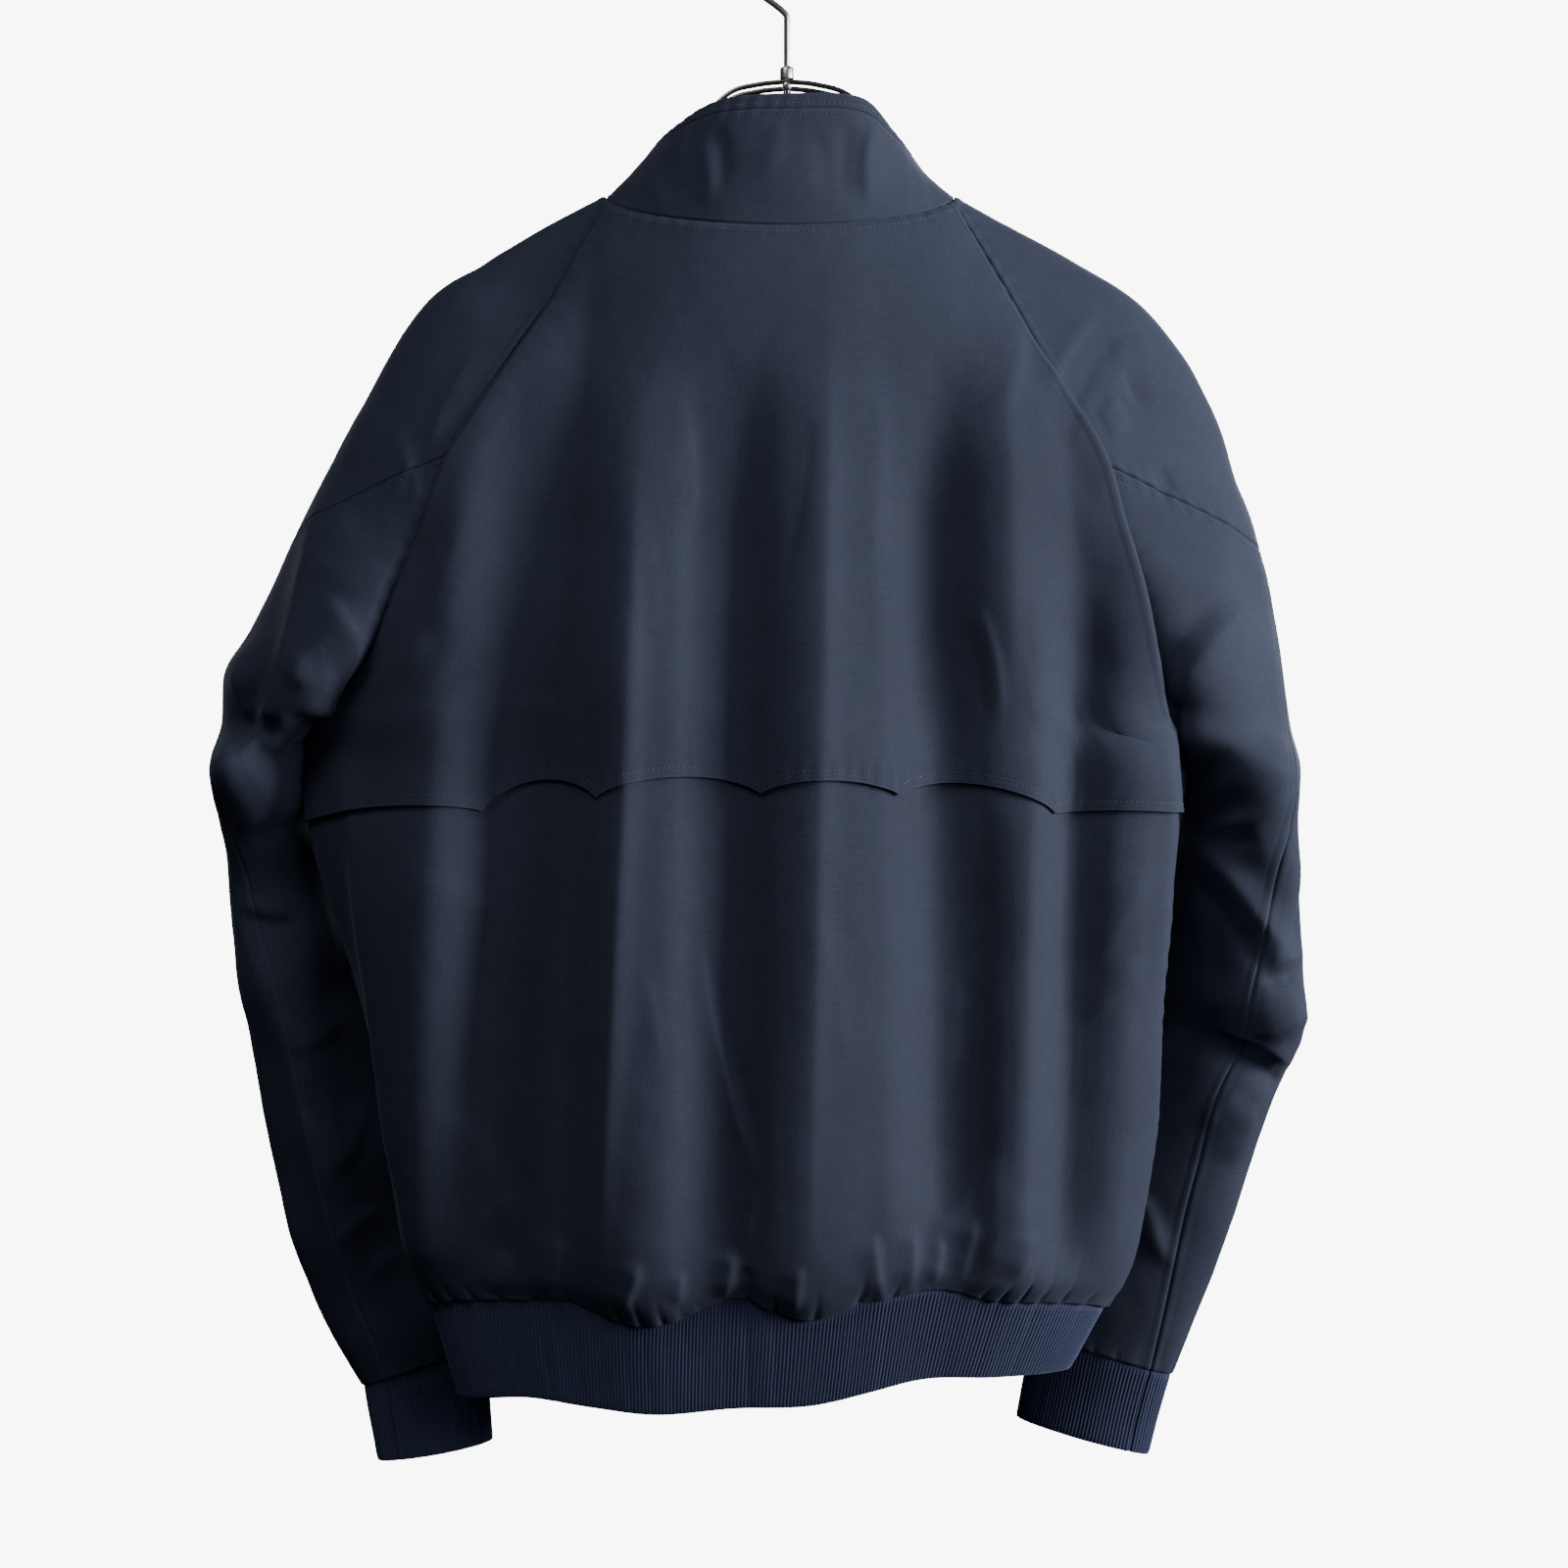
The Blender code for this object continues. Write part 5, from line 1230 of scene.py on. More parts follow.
shell_cloth = weave_paint(
    "navy_weave", NAVY_DARK, NAVY_LIGHT, roughness=0.8, thread_mm=0.42, sheen=0.08)
rib_knit = knit_paint("navy_rib_knit", RIB_DARK, RIB_LIGHT)
tape_cloth = weave_paint(
    "zip_tape_weave", NAVY_DARK, RIB_LIGHT, roughness=0.75, thread_mm=0.6, sheen=0.1)
thread = thread_paint("navy_thread", THREAD_DARK, THREAD_LIGHT)
zip_metal = metal_paint("aged_brass", BRASS_DARK, BRASS_LIGHT, roughness=0.36, scratch=0.1)
steel = metal_paint("satin_steel", STEEL_DARK, STEEL_LIGHT, roughness=0.28, scratch=0.12)
dark_wire = metal_paint("dark_wire", WIRE_DARK, WIRE_LIGHT, roughness=0.3, scratch=0.08)


# ---- Panels ----

back_rows = closer_at_ends(0, HEM_ROW, step=0.078, edge_step=0.03, edge_count=8)
back_cols = closer_at_ends(0, 2 * BACK_COLS, step=0.26, edge_step=0.12, edge_count=8)
front_cols = closer_at_ends(0, 2 * FRONT_COLS, step=0.26, edge_step=0.1, edge_count=7)
back_panel = fine_panel(back, back_rows, back_cols, BACKWARD)


def dress_body(panel, folds, hem_pitch, seed):
    """Fine form of the back or a front: creases, gathers at the hem, seams and unevenness."""
    creases = sum(crease_height(lines, panel.points, panel.normals) for lines in folds)
    panel.lift(creases + uneven(panel.points, 46.0, seed))
    panel.settle()
    side = np.minimum(panel.from_start, panel.to_end)
    along = panel.from_start[-1:]
    height = knit_gathers(panel.to_foot, along, hem_pitch, GATHER_DEEP, GATHER_REACH)
    height += seam_dip(side, STITCH_IN) + seam_dip(panel.from_top, STITCH_IN)
    height += pucker(side, panel.from_top, pitch=13.0, depth=0.35, reach=9.0)
    height += pucker(panel.from_top, panel.from_start[:1], pitch=11.0, depth=0.25, reach=8.0)
    height += turned_in(panel.to_foot)
    # painted lighter along the seams and at the hem, for wear and as a painted highlight
    panel.worn = 0.8 * fading(side, 1.2) + 0.6 * fading(panel.to_foot, 1.5)
    panel.lift(height)
    panel.settle()


dress_body(back_panel, (BACK_FOLDS_SOFT, SHOULDER_FOLDS), hem_pitch=15.0, seed=3)

front_panels = {}
for side, seed in ((-1, 11), (1, 17)):
    panel = fine_panel(fronts[side], back_rows, front_cols, FORWARD)
    dress_body(panel, (FRONT_FOLDS_SOFT,), hem_pitch=14.0, seed=seed)
    front_panels[side] = panel

SLEEVE_ROW_STEPS = {"step": 0.07, "edge_step": 0.03, "edge_count": 8}
SLEEVE_COL_STEPS = {"step": 0.3, "edge_step": 0.13, "edge_count": 7}
sleeve_rows = np.concatenate([
    closer_at_ends(0, CROSS_ROW, **SLEEVE_ROW_STEPS)[:-1],
    closer_at_ends(CROSS_ROW, UNDERARM_ROW + SLEEVE_ROWS, **SLEEVE_ROW_STEPS),
])
sleeve_cols = np.concatenate([
    closer_at_ends(0, 2 * ELBOW_COL, **SLEEVE_COL_STEPS)[:-1],
    closer_at_ends(2 * ELBOW_COL, 2 * SLEEVE_COLS, **SLEEVE_COL_STEPS),
])


def dress_sleeve(side, folds, seed):
    """Fine form of a sleeve: creases, elbow and cross seams, gathers at the cuff and unevenness."""
    panel = fine_panel(sleeves[side], sleeve_rows, sleeve_cols, outward)
    inner = np.minimum(panel.from_start, panel.to_end)
    creases = crease_height(folds, panel.points, panel.normals) * ease(inner / 9)
    creases += crease_height(SHOULDER_FOLDS, panel.points, panel.normals)
    panel.lift(creases + uneven(panel.points, 42.0, seed))
    panel.settle()
    panel.elbow = int(np.argmin(np.abs(sleeve_cols - 2 * ELBOW_COL)))
    panel.cross = int(np.argmin(np.abs(sleeve_rows - CROSS_ROW)))
    below = np.arange(len(sleeve_rows))[:, None] >= panel.cross
    under = np.arange(len(sleeve_cols))[None, :] <= panel.elbow
    to_elbow = np.abs(panel.from_start - panel.from_start[:, [panel.elbow]])
    to_cross = np.abs(panel.from_top - panel.from_top[[panel.cross]])
    along_cross = panel.from_start[[panel.cross]]
    height = seam_dip(inner, STITCH_IN) + seam_dip(panel.from_top, STITCH_IN)
    height += np.where(below, seam_dip(to_elbow, STITCH_IN), 0)
    height += np.where(under, seam_dip(to_cross, STITCH_IN), 0)
    height += pucker(inner, panel.from_top, pitch=12.0, depth=0.35, reach=9.0)
    height += np.where(under, pucker(to_cross, along_cross, pitch=12.0, depth=0.3, reach=8.0), 0)
    height += knit_gathers(panel.to_foot, panel.from_start[-1:], pitch=10.0, depth=1.6, reach=26.0)
    height += turned_in(panel.to_foot)
    # painted lighter along the seams, the elbow seam and at the cuff, for wear and as a painted
    # highlight
    panel.worn = 0.8 * fading(inner, 1.2) + 0.6 * fading(panel.to_foot, 1.5)
    panel.worn += np.where(below, 0.7 * fading(to_elbow, 1.2), 0)
    panel.lift(height)
    panel.settle()
    return panel


sleeve_panels = {-1: dress_sleeve(-1, LEFT_FOLDS, 23), 1: dress_sleeve(1, RIGHT_FOLDS, 31)}


def meet(first, first_col, second, second_col, first_rows, second_rows):
    """Lays the edges of two panels along one line, where they are sewn together."""
    a = first.points[first_rows, first_col]
    at = second.rows[second_rows]
    b = np.stack([np.interp(first.rows[first_rows], at, second.points[second_rows, second_col][:, k])
                  for k in range(3)], axis=1)
    middle = (a + b) / 2
    first.points[first_rows, first_col] = middle
    second.points[second_rows, second_col] = np.stack(
        [np.interp(at, first.rows[first_rows], middle[:, k]) for k in range(3)], axis=1)


def rows_between(panel, low, high):
    return np.nonzero((panel.rows >= low - 1e-6) & (panel.rows <= high + 1e-6))[0]


for side, back_col in ((-1, 0), (1, -1)):
    sleeve, front = sleeve_panels[side], front_panels[side]
    cap = rows_between(sleeve, 0, UNDERARM_ROW)
    upper = rows_between(back_panel, 0, UNDERARM_ROW)
    lower = rows_between(back_panel, UNDERARM_ROW, HEM_ROW)
    meet(back_panel, back_col, sleeve, 0, upper, cap)
    meet(front, 0, sleeve, -1, upper, cap)
    meet(back_panel, back_col, front, 0, lower, lower)


# ---- Pieces of the shell ----

pieces = {}      # each piece by the node that it dresses
pieces["back"] = make_panel("back_shell", back_panel)
for side, word in ((-1, "left"), (1, "right")):
    pieces[word + "_front"] = make_panel(word + "_front_shell", front_panels[side])
    panel = sleeve_panels[side]
    row_in = np.arange(len(panel.rows) - 1)[:, None]
    col_in = np.arange(len(panel.cols) - 1)[None, :]
    under = (row_in >= panel.cross) & (col_in < panel.elbow)
    pieces[word + "_sleeve_under"] = make_panel(word + "_sleeve_under_shell", panel, under)
    pieces[word + "_sleeve_top"] = make_panel(word + "_sleeve_top_shell", panel, ~under)


# ---- Yoke: a free flap over the back, its lower edge scalloped ----

def scallop_line(x):
    """Height of the yoke's lower edge across the back."""
    tips, heights, arches = SCALLOPS["tip_x"], SCALLOPS["tip_z"], SCALLOPS["arch_z"]
    i = np.clip(np.searchsorted(tips, x, side="right") - 1, 0, len(tips) - 2)
    share = np.clip((x - tips[i]) / (tips[i + 1] - tips[i]), 0, 1)
    chord = heights[i] + (heights[i + 1] - heights[i]) * share
    rise = arches[i] - (heights[i] + heights[i + 1]) / 2
    return chord + rise * (4 * share * (1 - share)) ** 0.7


def make_yoke():
    """The flap's fine grid: it follows the back's, a little off it, down to the scallops."""
    trial = back_rows[(back_rows > 6) & (back_rows < 14)]
    rows_at_edge = []
    for col in back_cols:
        line, _ = grid_at(back_panel, trial, np.full_like(trial, col))
        gap = line[:, 2] - scallop_line(line[:, 0])
        rows_at_edge.append(np.interp(0, -gap, trial))
    share = np.concatenate([np.linspace(0, 0.93, 96), 0.93 + 0.07 * np.linspace(0, 1, 15)[1:]])
    rows = share[:, None] * np.array(rows_at_edge)[None, :]
    points, normals = grid_at(back_panel, rows, np.broadcast_to(back_cols, rows.shape))
    yoke = Panel(share, back_cols, points, BACKWARD)
    yoke.normals = normals
    across, down = yoke.from_start, yoke.from_top
    side = np.minimum(across, yoke.to_end)
    free = fading(yoke.to_foot, 34.0) * ease(side / 30)
    billow = YOKE_BILLOW * (0.5 + 0.5 * np.sin(across / 47.0 + 1.1 * np.sin(across / 83.0)))
    height = YOKE_LIFT * ease(side / 5) * ease(down / 5) + free * billow
    pulls = pucker(yoke.to_foot - STITCH_IN, across[-1:], pitch=9.5, depth=0.22, reach=7.0)
    height += pulls * ease(side / 12)
    height += SEAM_WELT * bump((yoke.to_foot - STITCH_IN / 2) / 3.2)
    height -= SEAM_NIP * fading(yoke.to_foot - STITCH_IN, 0.9)
    # the scalloped edge painted lighter: a painted highlight on its lit top, and wear
    yoke.worn = 0.9 * fading(yoke.to_foot, 1.0)
    yoke.lift(height)
    yoke.settle()
    return yoke


yoke_panel = make_yoke()
pieces["back_yoke"] = make_panel("yoke_flap", yoke_panel, None, YOKE_FLAP_WALL)


# ---- Collar: outer face, rounded top, inner face ----

def neck_line():
    """The neck seam from the left front round to the right front, and the length along it."""
    parts = [
        front_panels[-1].points[0][::-1], sleeve_panels[-1].points[0][::-1][1:],
        back_panel.points[0][1:], sleeve_panels[1].points[0][1:], front_panels[1].points[0][1:],
    ]
    line = np.concatenate(parts)
    far = np.concatenate([[0], np.cumsum(np.linalg.norm(np.diff(line, axis=0), axis=1))])
    even = np.linspace(0, far[-1], COLLAR_COLS)
    line = np.stack([np.interp(even, far, line[:, k]) for k in range(3)], axis=1)
    for _ in range(6):
        line[1:-1] = (line[:-2] + 2 * line[1:-1] + line[2:]) / 4
    return line, even


def make_collar_face():
    """Rows of the collar's middle surface from the neck seam to its top edge."""
    line, far = neck_line()
    around = far / far[-1]
    top = np.column_stack([
        through(COLLAR_TOP["around"], COLLAR_TOP[key], around) for key in ("top_x", "top_y", "top_z")
    ])
    belly = through(COLLAR_TOP["around"], COLLAR_TOP["belly"], around)
    out = unit((line - np.array([0, COLLAR_AXIS_Y, 0])) * np.array([1, 1, 0]))
    split = 1 - COLLAR_BAND
    share = np.concatenate([
        closer_at_ends(0, split, step=0.034, edge_step=0.006, edge_count=5)[:-1],
        closer_at_ends(split, 1, step=0.03, edge_step=0.006, edge_count=4),
    ])
    rows = [line + (top - line) * s + out * (4 * s * (1 - s) * belly)[:, None] for s in share]
    return np.array(rows), share, split


collar_face, collar_share, collar_split = make_collar_face()


def thinner_at_edges(up, to_top):
    """Share of the wall that is left at the rounded foot and top of a folded strip."""
    return 0.35 + 0.65 * ease(np.minimum(up, to_top) / 1.6 + 0.05)


def collar_piece(name, low, high):
    """A folded strip of the collar between two shares of its height, with its outer face."""
    chosen = np.nonzero((collar_share >= low - 1e-6) & (collar_share <= high + 1e-6))[0]
    face = collar_face[chosen]
    way = (collar_face[chosen] - np.array([0, COLLAR_AXIS_Y, 0])) * np.array([1, 1, 0])
    normals = facing(face, way)
    along, up = run_length(face, 1), run_length(face, 0)
    to_top = up[-1:] - up
    lift = (crease_height(COLLAR_FOLDS, face, normals)
            + 0.5 * cloth_noise(face, 26.0, 41) + 0.18 * cloth_noise(face, 9.0, 42))
    lift += seam_dip(up, STITCH_IN * 0.6) + seam_dip(to_top, STITCH_IN * 0.6)
    for far in (to_top, up):
        lift += pucker(far, along, pitch=9.0, depth=0.25, reach=7.0)
    lift *= ease(np.minimum(along, along[:, -1:] - along) / 3 + 0.4)
    outer = face + normals * lift[..., None]
    inner = face - normals * (COLLAR_WALL * thinner_at_edges(up, to_top))[..., None]
    inner = inner + normals * (0.3 * cloth_noise(face, 18.0, 43) - 0.3)[..., None]
    inner[0, :, 2] -= COLLAR_TUCK * (low == 0)
    loop = np.concatenate([outer, inner[::-1]])
    rows, cols = loop.shape[:2]
    faces = [quads(rows, cols)]
    index = np.arange(rows * cols).reshape(rows, cols)
    faces.append(np.stack([index[-1, :-1], index[-1, 1:], index[0, 1:], index[0, :-1]], axis=-1))
    half = rows // 2
    for col, turn in ((0, 1), (cols - 1, -1)):
        a, b = index[:half, col], index[::-1][:half, col]
        cap = np.stack([a[:-1], a[1:], b[1:], b[:-1]], axis=-1)
        faces.append(cap[:, ::turn])
    uv = np.stack([along, up], axis=-1)
    uvs = np.concatenate([uv, uv[::-1]]).reshape(-1, 2)
    # painted lighter at the folded top edge and at the seam, for wear and as a painted highlight
    worn = 0.9 * fading(to_top, 1.1) + 0.5 * fading(up, 1.0)
    worn = np.concatenate([worn, worn[::-1]]).reshape(-1)
    item = new_mesh(name, loop.reshape(-1, 3), np.concatenate(faces), uvs, worn)
    item.data.set_sharp_from_angle(angle=math.radians(75))
    return item, outer, normals, up, to_top


pieces["collar"], *stand = collar_piece("collar_stand", 0, collar_split)
pieces["collar_edge"], *top_strip = collar_piece("collar_top_strip", collar_split, 1)


# ---- Ribs ----

def even_line(line, count, closed):
    """The line as evenly spaced points, without its last point where it closes on its first."""
    far = np.concatenate([[0], np.cumsum(np.linalg.norm(np.diff(line, axis=0), axis=1))])
    at = np.linspace(0, far[-1], count + 1)
    if closed:
        at = at[:-1]
    return np.stack([np.interp(at, far, line[:, k]) for k in range(3)], axis=1)


def rib_band(name, bands, closed, seed):
    """A knit band folded double, through its rows of points from the seam to the fold."""
    seam = bands[0]
    length = np.linalg.norm(np.diff(seam, axis=0), axis=1).sum()
    ribs = round(length / RIB_PITCH)
    count = ribs * RIB_STEPS
    coarse = np.array([even_line(row, count, closed) for row in bands])
    shares = np.concatenate([[0, 0.02, 0.05, 0.1], np.linspace(0.16, 0.94, 14), [0.98, 1.0]])
    face = through(np.linspace(0, 1, len(bands)), coarse, shares)
    if closed:
        way = outward(face)
    else:
        way = (face - np.array([seam[:, 0].mean(), seam[:, 1].mean(), 0])) * np.array([1, 1, 0])
    normals = facing(face, way)
    if closed:
        normals[:, 0] = normals[:, -1] = unit(normals[:, 1] + normals[:, -2])
    phase = 2 * math.pi * np.arange(face.shape[1]) / RIB_STEPS
    ridge = 0.5 + 0.5 * np.cos(phase)
    down = run_length(face, 0)
    to_fold = down[-1:] - down
    full = ease((down + 0.4) / 5.0) * ease((to_fold + 0.5) / 2.0)
    wave = 0.5 * cloth_noise(face, 30.0, seed)
    at_fold = ROUND_FOLD * (1 - ease(to_fold / 1.6))
    round_off = at_fold + 0.35 * (1 - ease(down / 1.5))
    outer = face + normals * (RIB_DEPTH * (ridge - 1) * full + wave - round_off)[..., None]
    inner = face - normals * (RIB_WALL - at_fold)[..., None]
    inner = inner + normals * (0.5 * RIB_DEPTH * (ridge - 1) * full + wave)[..., None]
    loop = np.concatenate([outer, inner[::-1][::2]])
    rows, cols = loop.shape[:2]
    index = np.arange(rows * cols).reshape(rows, cols)
    if closed:
        index = np.concatenate([index, index[:, :1]], axis=1)
    index = np.concatenate([index, index[:1]])
    grid = np.stack([index[:-1, :-1], index[:-1, 1:], index[1:, 1:], index[1:, :-1]], axis=-1)
    faces = grid.reshape(-1, 4).tolist()
    if not closed:
        for ends in (index[:rows, 0], index[:rows, -1][::-1]):
            faces += [[ends[0], ends[k], ends[k + 1]] for k in range(1, rows - 1)]
    along = np.broadcast_to(np.arange(cols) * RIB_PITCH / RIB_STEPS, (rows, cols))
    depth = np.concatenate([down, down[::-1][::2]])
    uvs = np.stack([along, depth], axis=-1).reshape(-1, 2)
    # the crests of the ribs painted lighter: a painted highlight
    worn = np.broadcast_to(np.where(ridge > 0.6, 0.55, 0.0), (rows, cols)).reshape(-1)
    return new_mesh(name, loop.reshape(-1, 3), faces, uvs, worn)


def cuff_rows(side):
    """Rows of a cuff from the sleeve's foot: drawn in a little, and levelled at its own foot."""
    last = sleeve_panels[side].points[-1]
    middle = last[:-1].mean(axis=0)
    length, lean, level = (CUFFS[key][0 if side < 0 else 1] for key in ("length", "lean", "level"))
    way = np.array([-side * lean, 0, -length])
    rows = []
    for share in np.linspace(0, 1, RIB_ROWS):
        waist = 1 - CUFF_WAIST * math.sin(math.pi * share)
        draw = np.array([1 - CUFF_DRAW * share, waist, 1 - level * share])
        rows.append(middle + (last - middle) * draw + way * share)
    return rows


def hem_rows():
    """Rows of the hem rib from its seam down: drawn in, and ending at the waved foot."""
    left, right = front_panels[-1].points[-1], front_panels[1].points[-1]
    seam = np.concatenate([left[::-1], back_panel.points[-1][1:], right[1:]])
    rows = []
    for share in np.linspace(0, 1, RIB_ROWS):
        drawn = np.where(seam[:, 0] < 0, HEM_DRAW_LEFT, HEM_DRAW_RIGHT)
        row = seam.copy()
        row[:, 0] *= 1 - (1 - drawn) * share
        row[:, 1] *= 1 - HEM_DRAW_DEEP * share
        foot = through(HEM_FOOT["x"], HEM_FOOT["z"], np.clip(row[:, 0], *HEM_FOOT["x"][[0, -1]]))
        to_side = np.abs(row[:, 0]) / HEM_SIDE_X
        foot = np.where(row[:, 1] < 0, foot, HEM_FOOT_FRONT + (foot - HEM_FOOT_FRONT) * to_side)
        row[:, 2] += (foot - row[:, 2]) * share
        row[0, 0], row[-1, 0] = -EDGE_FROM_ZIP, EDGE_FROM_ZIP
        rows.append(row)
    return rows


hem = hem_rows()
pieces["hem_rib"] = rib_band("hem_rib_knit", hem, closed=False, seed=51)
pieces["left_cuff"] = rib_band("left_cuff_knit", cuff_rows(-1), closed=True, seed=53)
pieces["right_cuff"] = rib_band("right_cuff_knit", cuff_rows(1), closed=True, seed=57)


# ---- Topstitching ----

for side, back_end in ((-1, False), (1, True)):
    sleeve, front = sleeve_panels[side], front_panels[side]
    sew(*column_line(back_panel, STITCH_IN, back_end, first=0.2, last=UNDERARM_ROW - 0.3))
    sew(*column_line(sleeve, STITCH_IN, from_end=True, first=0.2, last=UNDERARM_ROW - 0.3))
    sew(*column_line(front, STITCH_IN, first=0.2, last=HEM_ROW - 0.2))
    sew(*column_line(front, STITCH_IN, from_end=True, first=0.3, last=HEM_ROW - 0.2))
    below_cross = sleeve.from_top[sleeve.cross] + STITCH_IN
    sew(*row_line(sleeve, below_cross, first=0.5, last=2 * ELBOW_COL))
sew(*row_line(yoke_panel, STITCH_IN, from_foot=True, first=1.0, last=2 * BACK_COLS - 1.0))
sew(*row_line(yoke_panel, STITCH_IN, first=0.6, last=2 * BACK_COLS - 0.6))
for (outer, normals, up, to_top), at_top in ((stand, True), (top_strip, False)):
    far = to_top[::-1] if at_top else up
    face = outer[::-1] if at_top else outer
    line = [
        [np.interp(STITCH_IN * 0.6, far[:, c], face[:, c, k]) for k in range(3)]
        for c in range(1, face.shape[1] - 1)
    ]
    sew(np.array(line), normals[0, 1:-1])
stitches = make_stitches("topstitching", "jacket")


# ---- Zip ----

def zip_line():
    """The middle line of the closed zip, from its top end to the foot of the hem rib."""
    at_rib = [hem[k][-1] for k in (RIB_ROWS // 2, RIB_ROWS - 1)]
    rows = np.concatenate([fronts[1][CHAIN_TOP_ROW:, -1], at_rib])
    rows[:, 0] = 0
    at = np.linspace(0, len(rows) - 1, ZIP_ROWS)
    return through(np.arange(len(rows)), rows, at)


def make_tapes():
    """Both tapes as one strip, with a raised cord beside the teeth and edges that turn down."""
    line = zip_line()
    half = np.array([(1.2, 0), (2.4, 0.35), (3.2, 0), (7, 0), (TAPE_HALF - 1, 0), (TAPE_HALF, -0.3)])
    across, rise = np.concatenate([half[::-1] * (-1, 1), half]).T
    grid = line[:, None, :] + across[None, :, None] * np.array([1.0, 0, 0])
    grid = grid + (rise - (KNIT + LAY_GAP))[None, :, None] * FORWARD
    normals = facing(grid, FORWARD)
    count = grid.shape[0] * grid.shape[1]
    uvs = np.stack([np.broadcast_to(across, grid.shape[:2]), run_length(grid, 0)], axis=-1)
    return cloth_piece("zip_tape_strip", grid.reshape(count, 3), normals.reshape(count, 3),
                       quads(*grid.shape[:2]), uvs.reshape(count, 2), np.zeros(count), TAPE_WALL)


TOOTH = table(
    "x y z",
    (-0.4, -0.9, -0.55), (1.3, -1.0, -0.75), (3.0, -1.0, -0.75), (3.2, -0.5, -0.5),
    (-0.4, 0.9, -0.55), (1.3, 1.0, -0.75), (3.0, 1.0, -0.75), (3.2, 0.5, -0.5),
    (-0.4, -0.9, 0.55), (1.3, -1.0, 0.75), (3.0, -1.0, 0.75), (3.2, -0.5, 0.5),
    (-0.4, 0.9, 0.55), (1.3, 1.0, 0.75), (3.0, 1.0, 0.75), (3.2, 0.5, 0.5),
)
TOOTH_FACES = np.array([
    (0, 1, 5, 4), (1, 2, 6, 5), (2, 3, 7, 6), (8, 12, 13, 9), (9, 13, 14, 10), (10, 14, 15, 11),
    (0, 8, 9, 1), (1, 9, 10, 2), (2, 10, 11, 3), (4, 5, 13, 12), (5, 6, 14, 13), (6, 7, 15, 14),
    (0, 4, 12, 8), (3, 11, 15, 7),
])


def make_chain():
    """Teeth along the zip, one from each side in turn."""
    line = zip_line()
    far = np.concatenate([[0], np.cumsum(np.linalg.norm(np.diff(line, axis=0), axis=1))])
    tooth = np.column_stack([TOOTH["x"], TOOTH["y"], TOOTH["z"]])
    points, faces = [], []
    for k, place in enumerate(np.arange(2.0, far[-1] - 1.5, TOOTH_PITCH)):
        side = 1 if k % 2 else -1
        centre = np.array([np.interp(place, far, line[:, a]) for a in range(3)])
        shift = np.array([-TOOTH_BACK * side, CHAIN_RISE - TOOTH_DEEP, 0])
        shape = tooth * np.array([side, 1, 1]) + centre + shift
        order = TOOTH_FACES if side > 0 else TOOTH_FACES[:, ::-1]
        faces.append(order + len(points) * len(tooth))
        points.append(shape)
    item = new_mesh("zip_teeth", np.concatenate(points), np.concatenate(faces))
    item.data.set_sharp_from_angle(angle=math.radians(40))
    return item


pieces["zip_tapes"], pieces["zip_chain"] = make_tapes(), make_chain()


def rounded(node, name, width, segments=3):
    """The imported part's own shape with its edges rounded."""
    item = bpy.data.objects.new(name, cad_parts[node].data.copy())
    bpy.context.scene.collection.objects.link(item)
    edge = item.modifiers.new("rounded", "BEVEL")
    edge.width, edge.segments, edge.limit_method = width * MM, segments, "ANGLE"
    edge.angle_limit = math.radians(40)
    return item


pieces["zip_slider"] = rounded("zip_slider", "zip_slider_body", 0.45)
pieces["zip_pull"] = rounded("zip_pull", "zip_pull_tab", 0.35)


# ---- Hanger ----

def wire(name, points, radius, closed):
    """A round wire along a line of points."""
    curve = bpy.data.curves.new(name, "CURVE")
    curve.dimensions = "3D"
    curve.bevel_depth = radius * MM
    curve.bevel_resolution = 6
    curve.use_fill_caps = not closed
    line = curve.splines.new("POLY")
    line.points.add(len(points) - 1)
    for point, place in zip(line.points, points):
        point.co = (*(np.array(place) * MM), 1)
    line.use_cyclic_u = closed
    line.use_smooth = True
    item = bpy.data.objects.new(name, curve)
    bpy.context.scene.collection.objects.link(item)
    return item


def lathe(name, profile, start, way, sides=48):
    """A turned piece: profile of (along, radius) from start along way."""
    way = unit(np.array(way, float))
    other = unit(np.cross(way, [0.3, 0.9, 0.2]))
    third = np.cross(way, other)
    turns = np.linspace(0, 2 * math.pi, sides, endpoint=False)
    ring = np.cos(turns)[:, None] * other + np.sin(turns)[:, None] * third
    rings = [np.array(start) + way * along + ring * radius for along, radius in profile]
    points = np.concatenate(rings)
    index = np.arange(len(points)).reshape(len(profile), sides)
    index = np.concatenate([index, index[:, :1]], axis=1)
    grid = np.stack([index[:-1, :-1], index[1:, :-1], index[1:, 1:], index[:-1, 1:]], axis=-1)
    faces = grid.reshape(-1, 4).tolist() + [list(index[0, :-1]), list(index[-1, :-1])[::-1]]
    item = new_mesh(name, points, faces)
    item.data.set_sharp_from_angle(angle=math.radians(35))
    return item


def hook_points():
    """The hook from its open tip round and down to its foot in the ferrule."""
    turns = np.radians(np.linspace(HOOK_TIP_TURN, HOOK_FOOT_TURN, 90))
    line = [(HOOK_R * math.cos(t), 0, HOOK_CENTRE_Z + HOOK_R * math.sin(t)) for t in turns]
    corner = np.array(line[-1])
    foot = np.array([0, 0, HOOK_BEND_Z - 3.5])
    knee = np.array([0.2, 0, HOOK_BEND_Z - 0.4])
    for t in np.linspace(0.15, 1, 8):
        line.append(tuple(corner * (1 - t) ** 2 + 2 * knee * t * (1 - t) + foot * t * t))
    return line + [(0, 0, HOOK_FOOT_Z)]


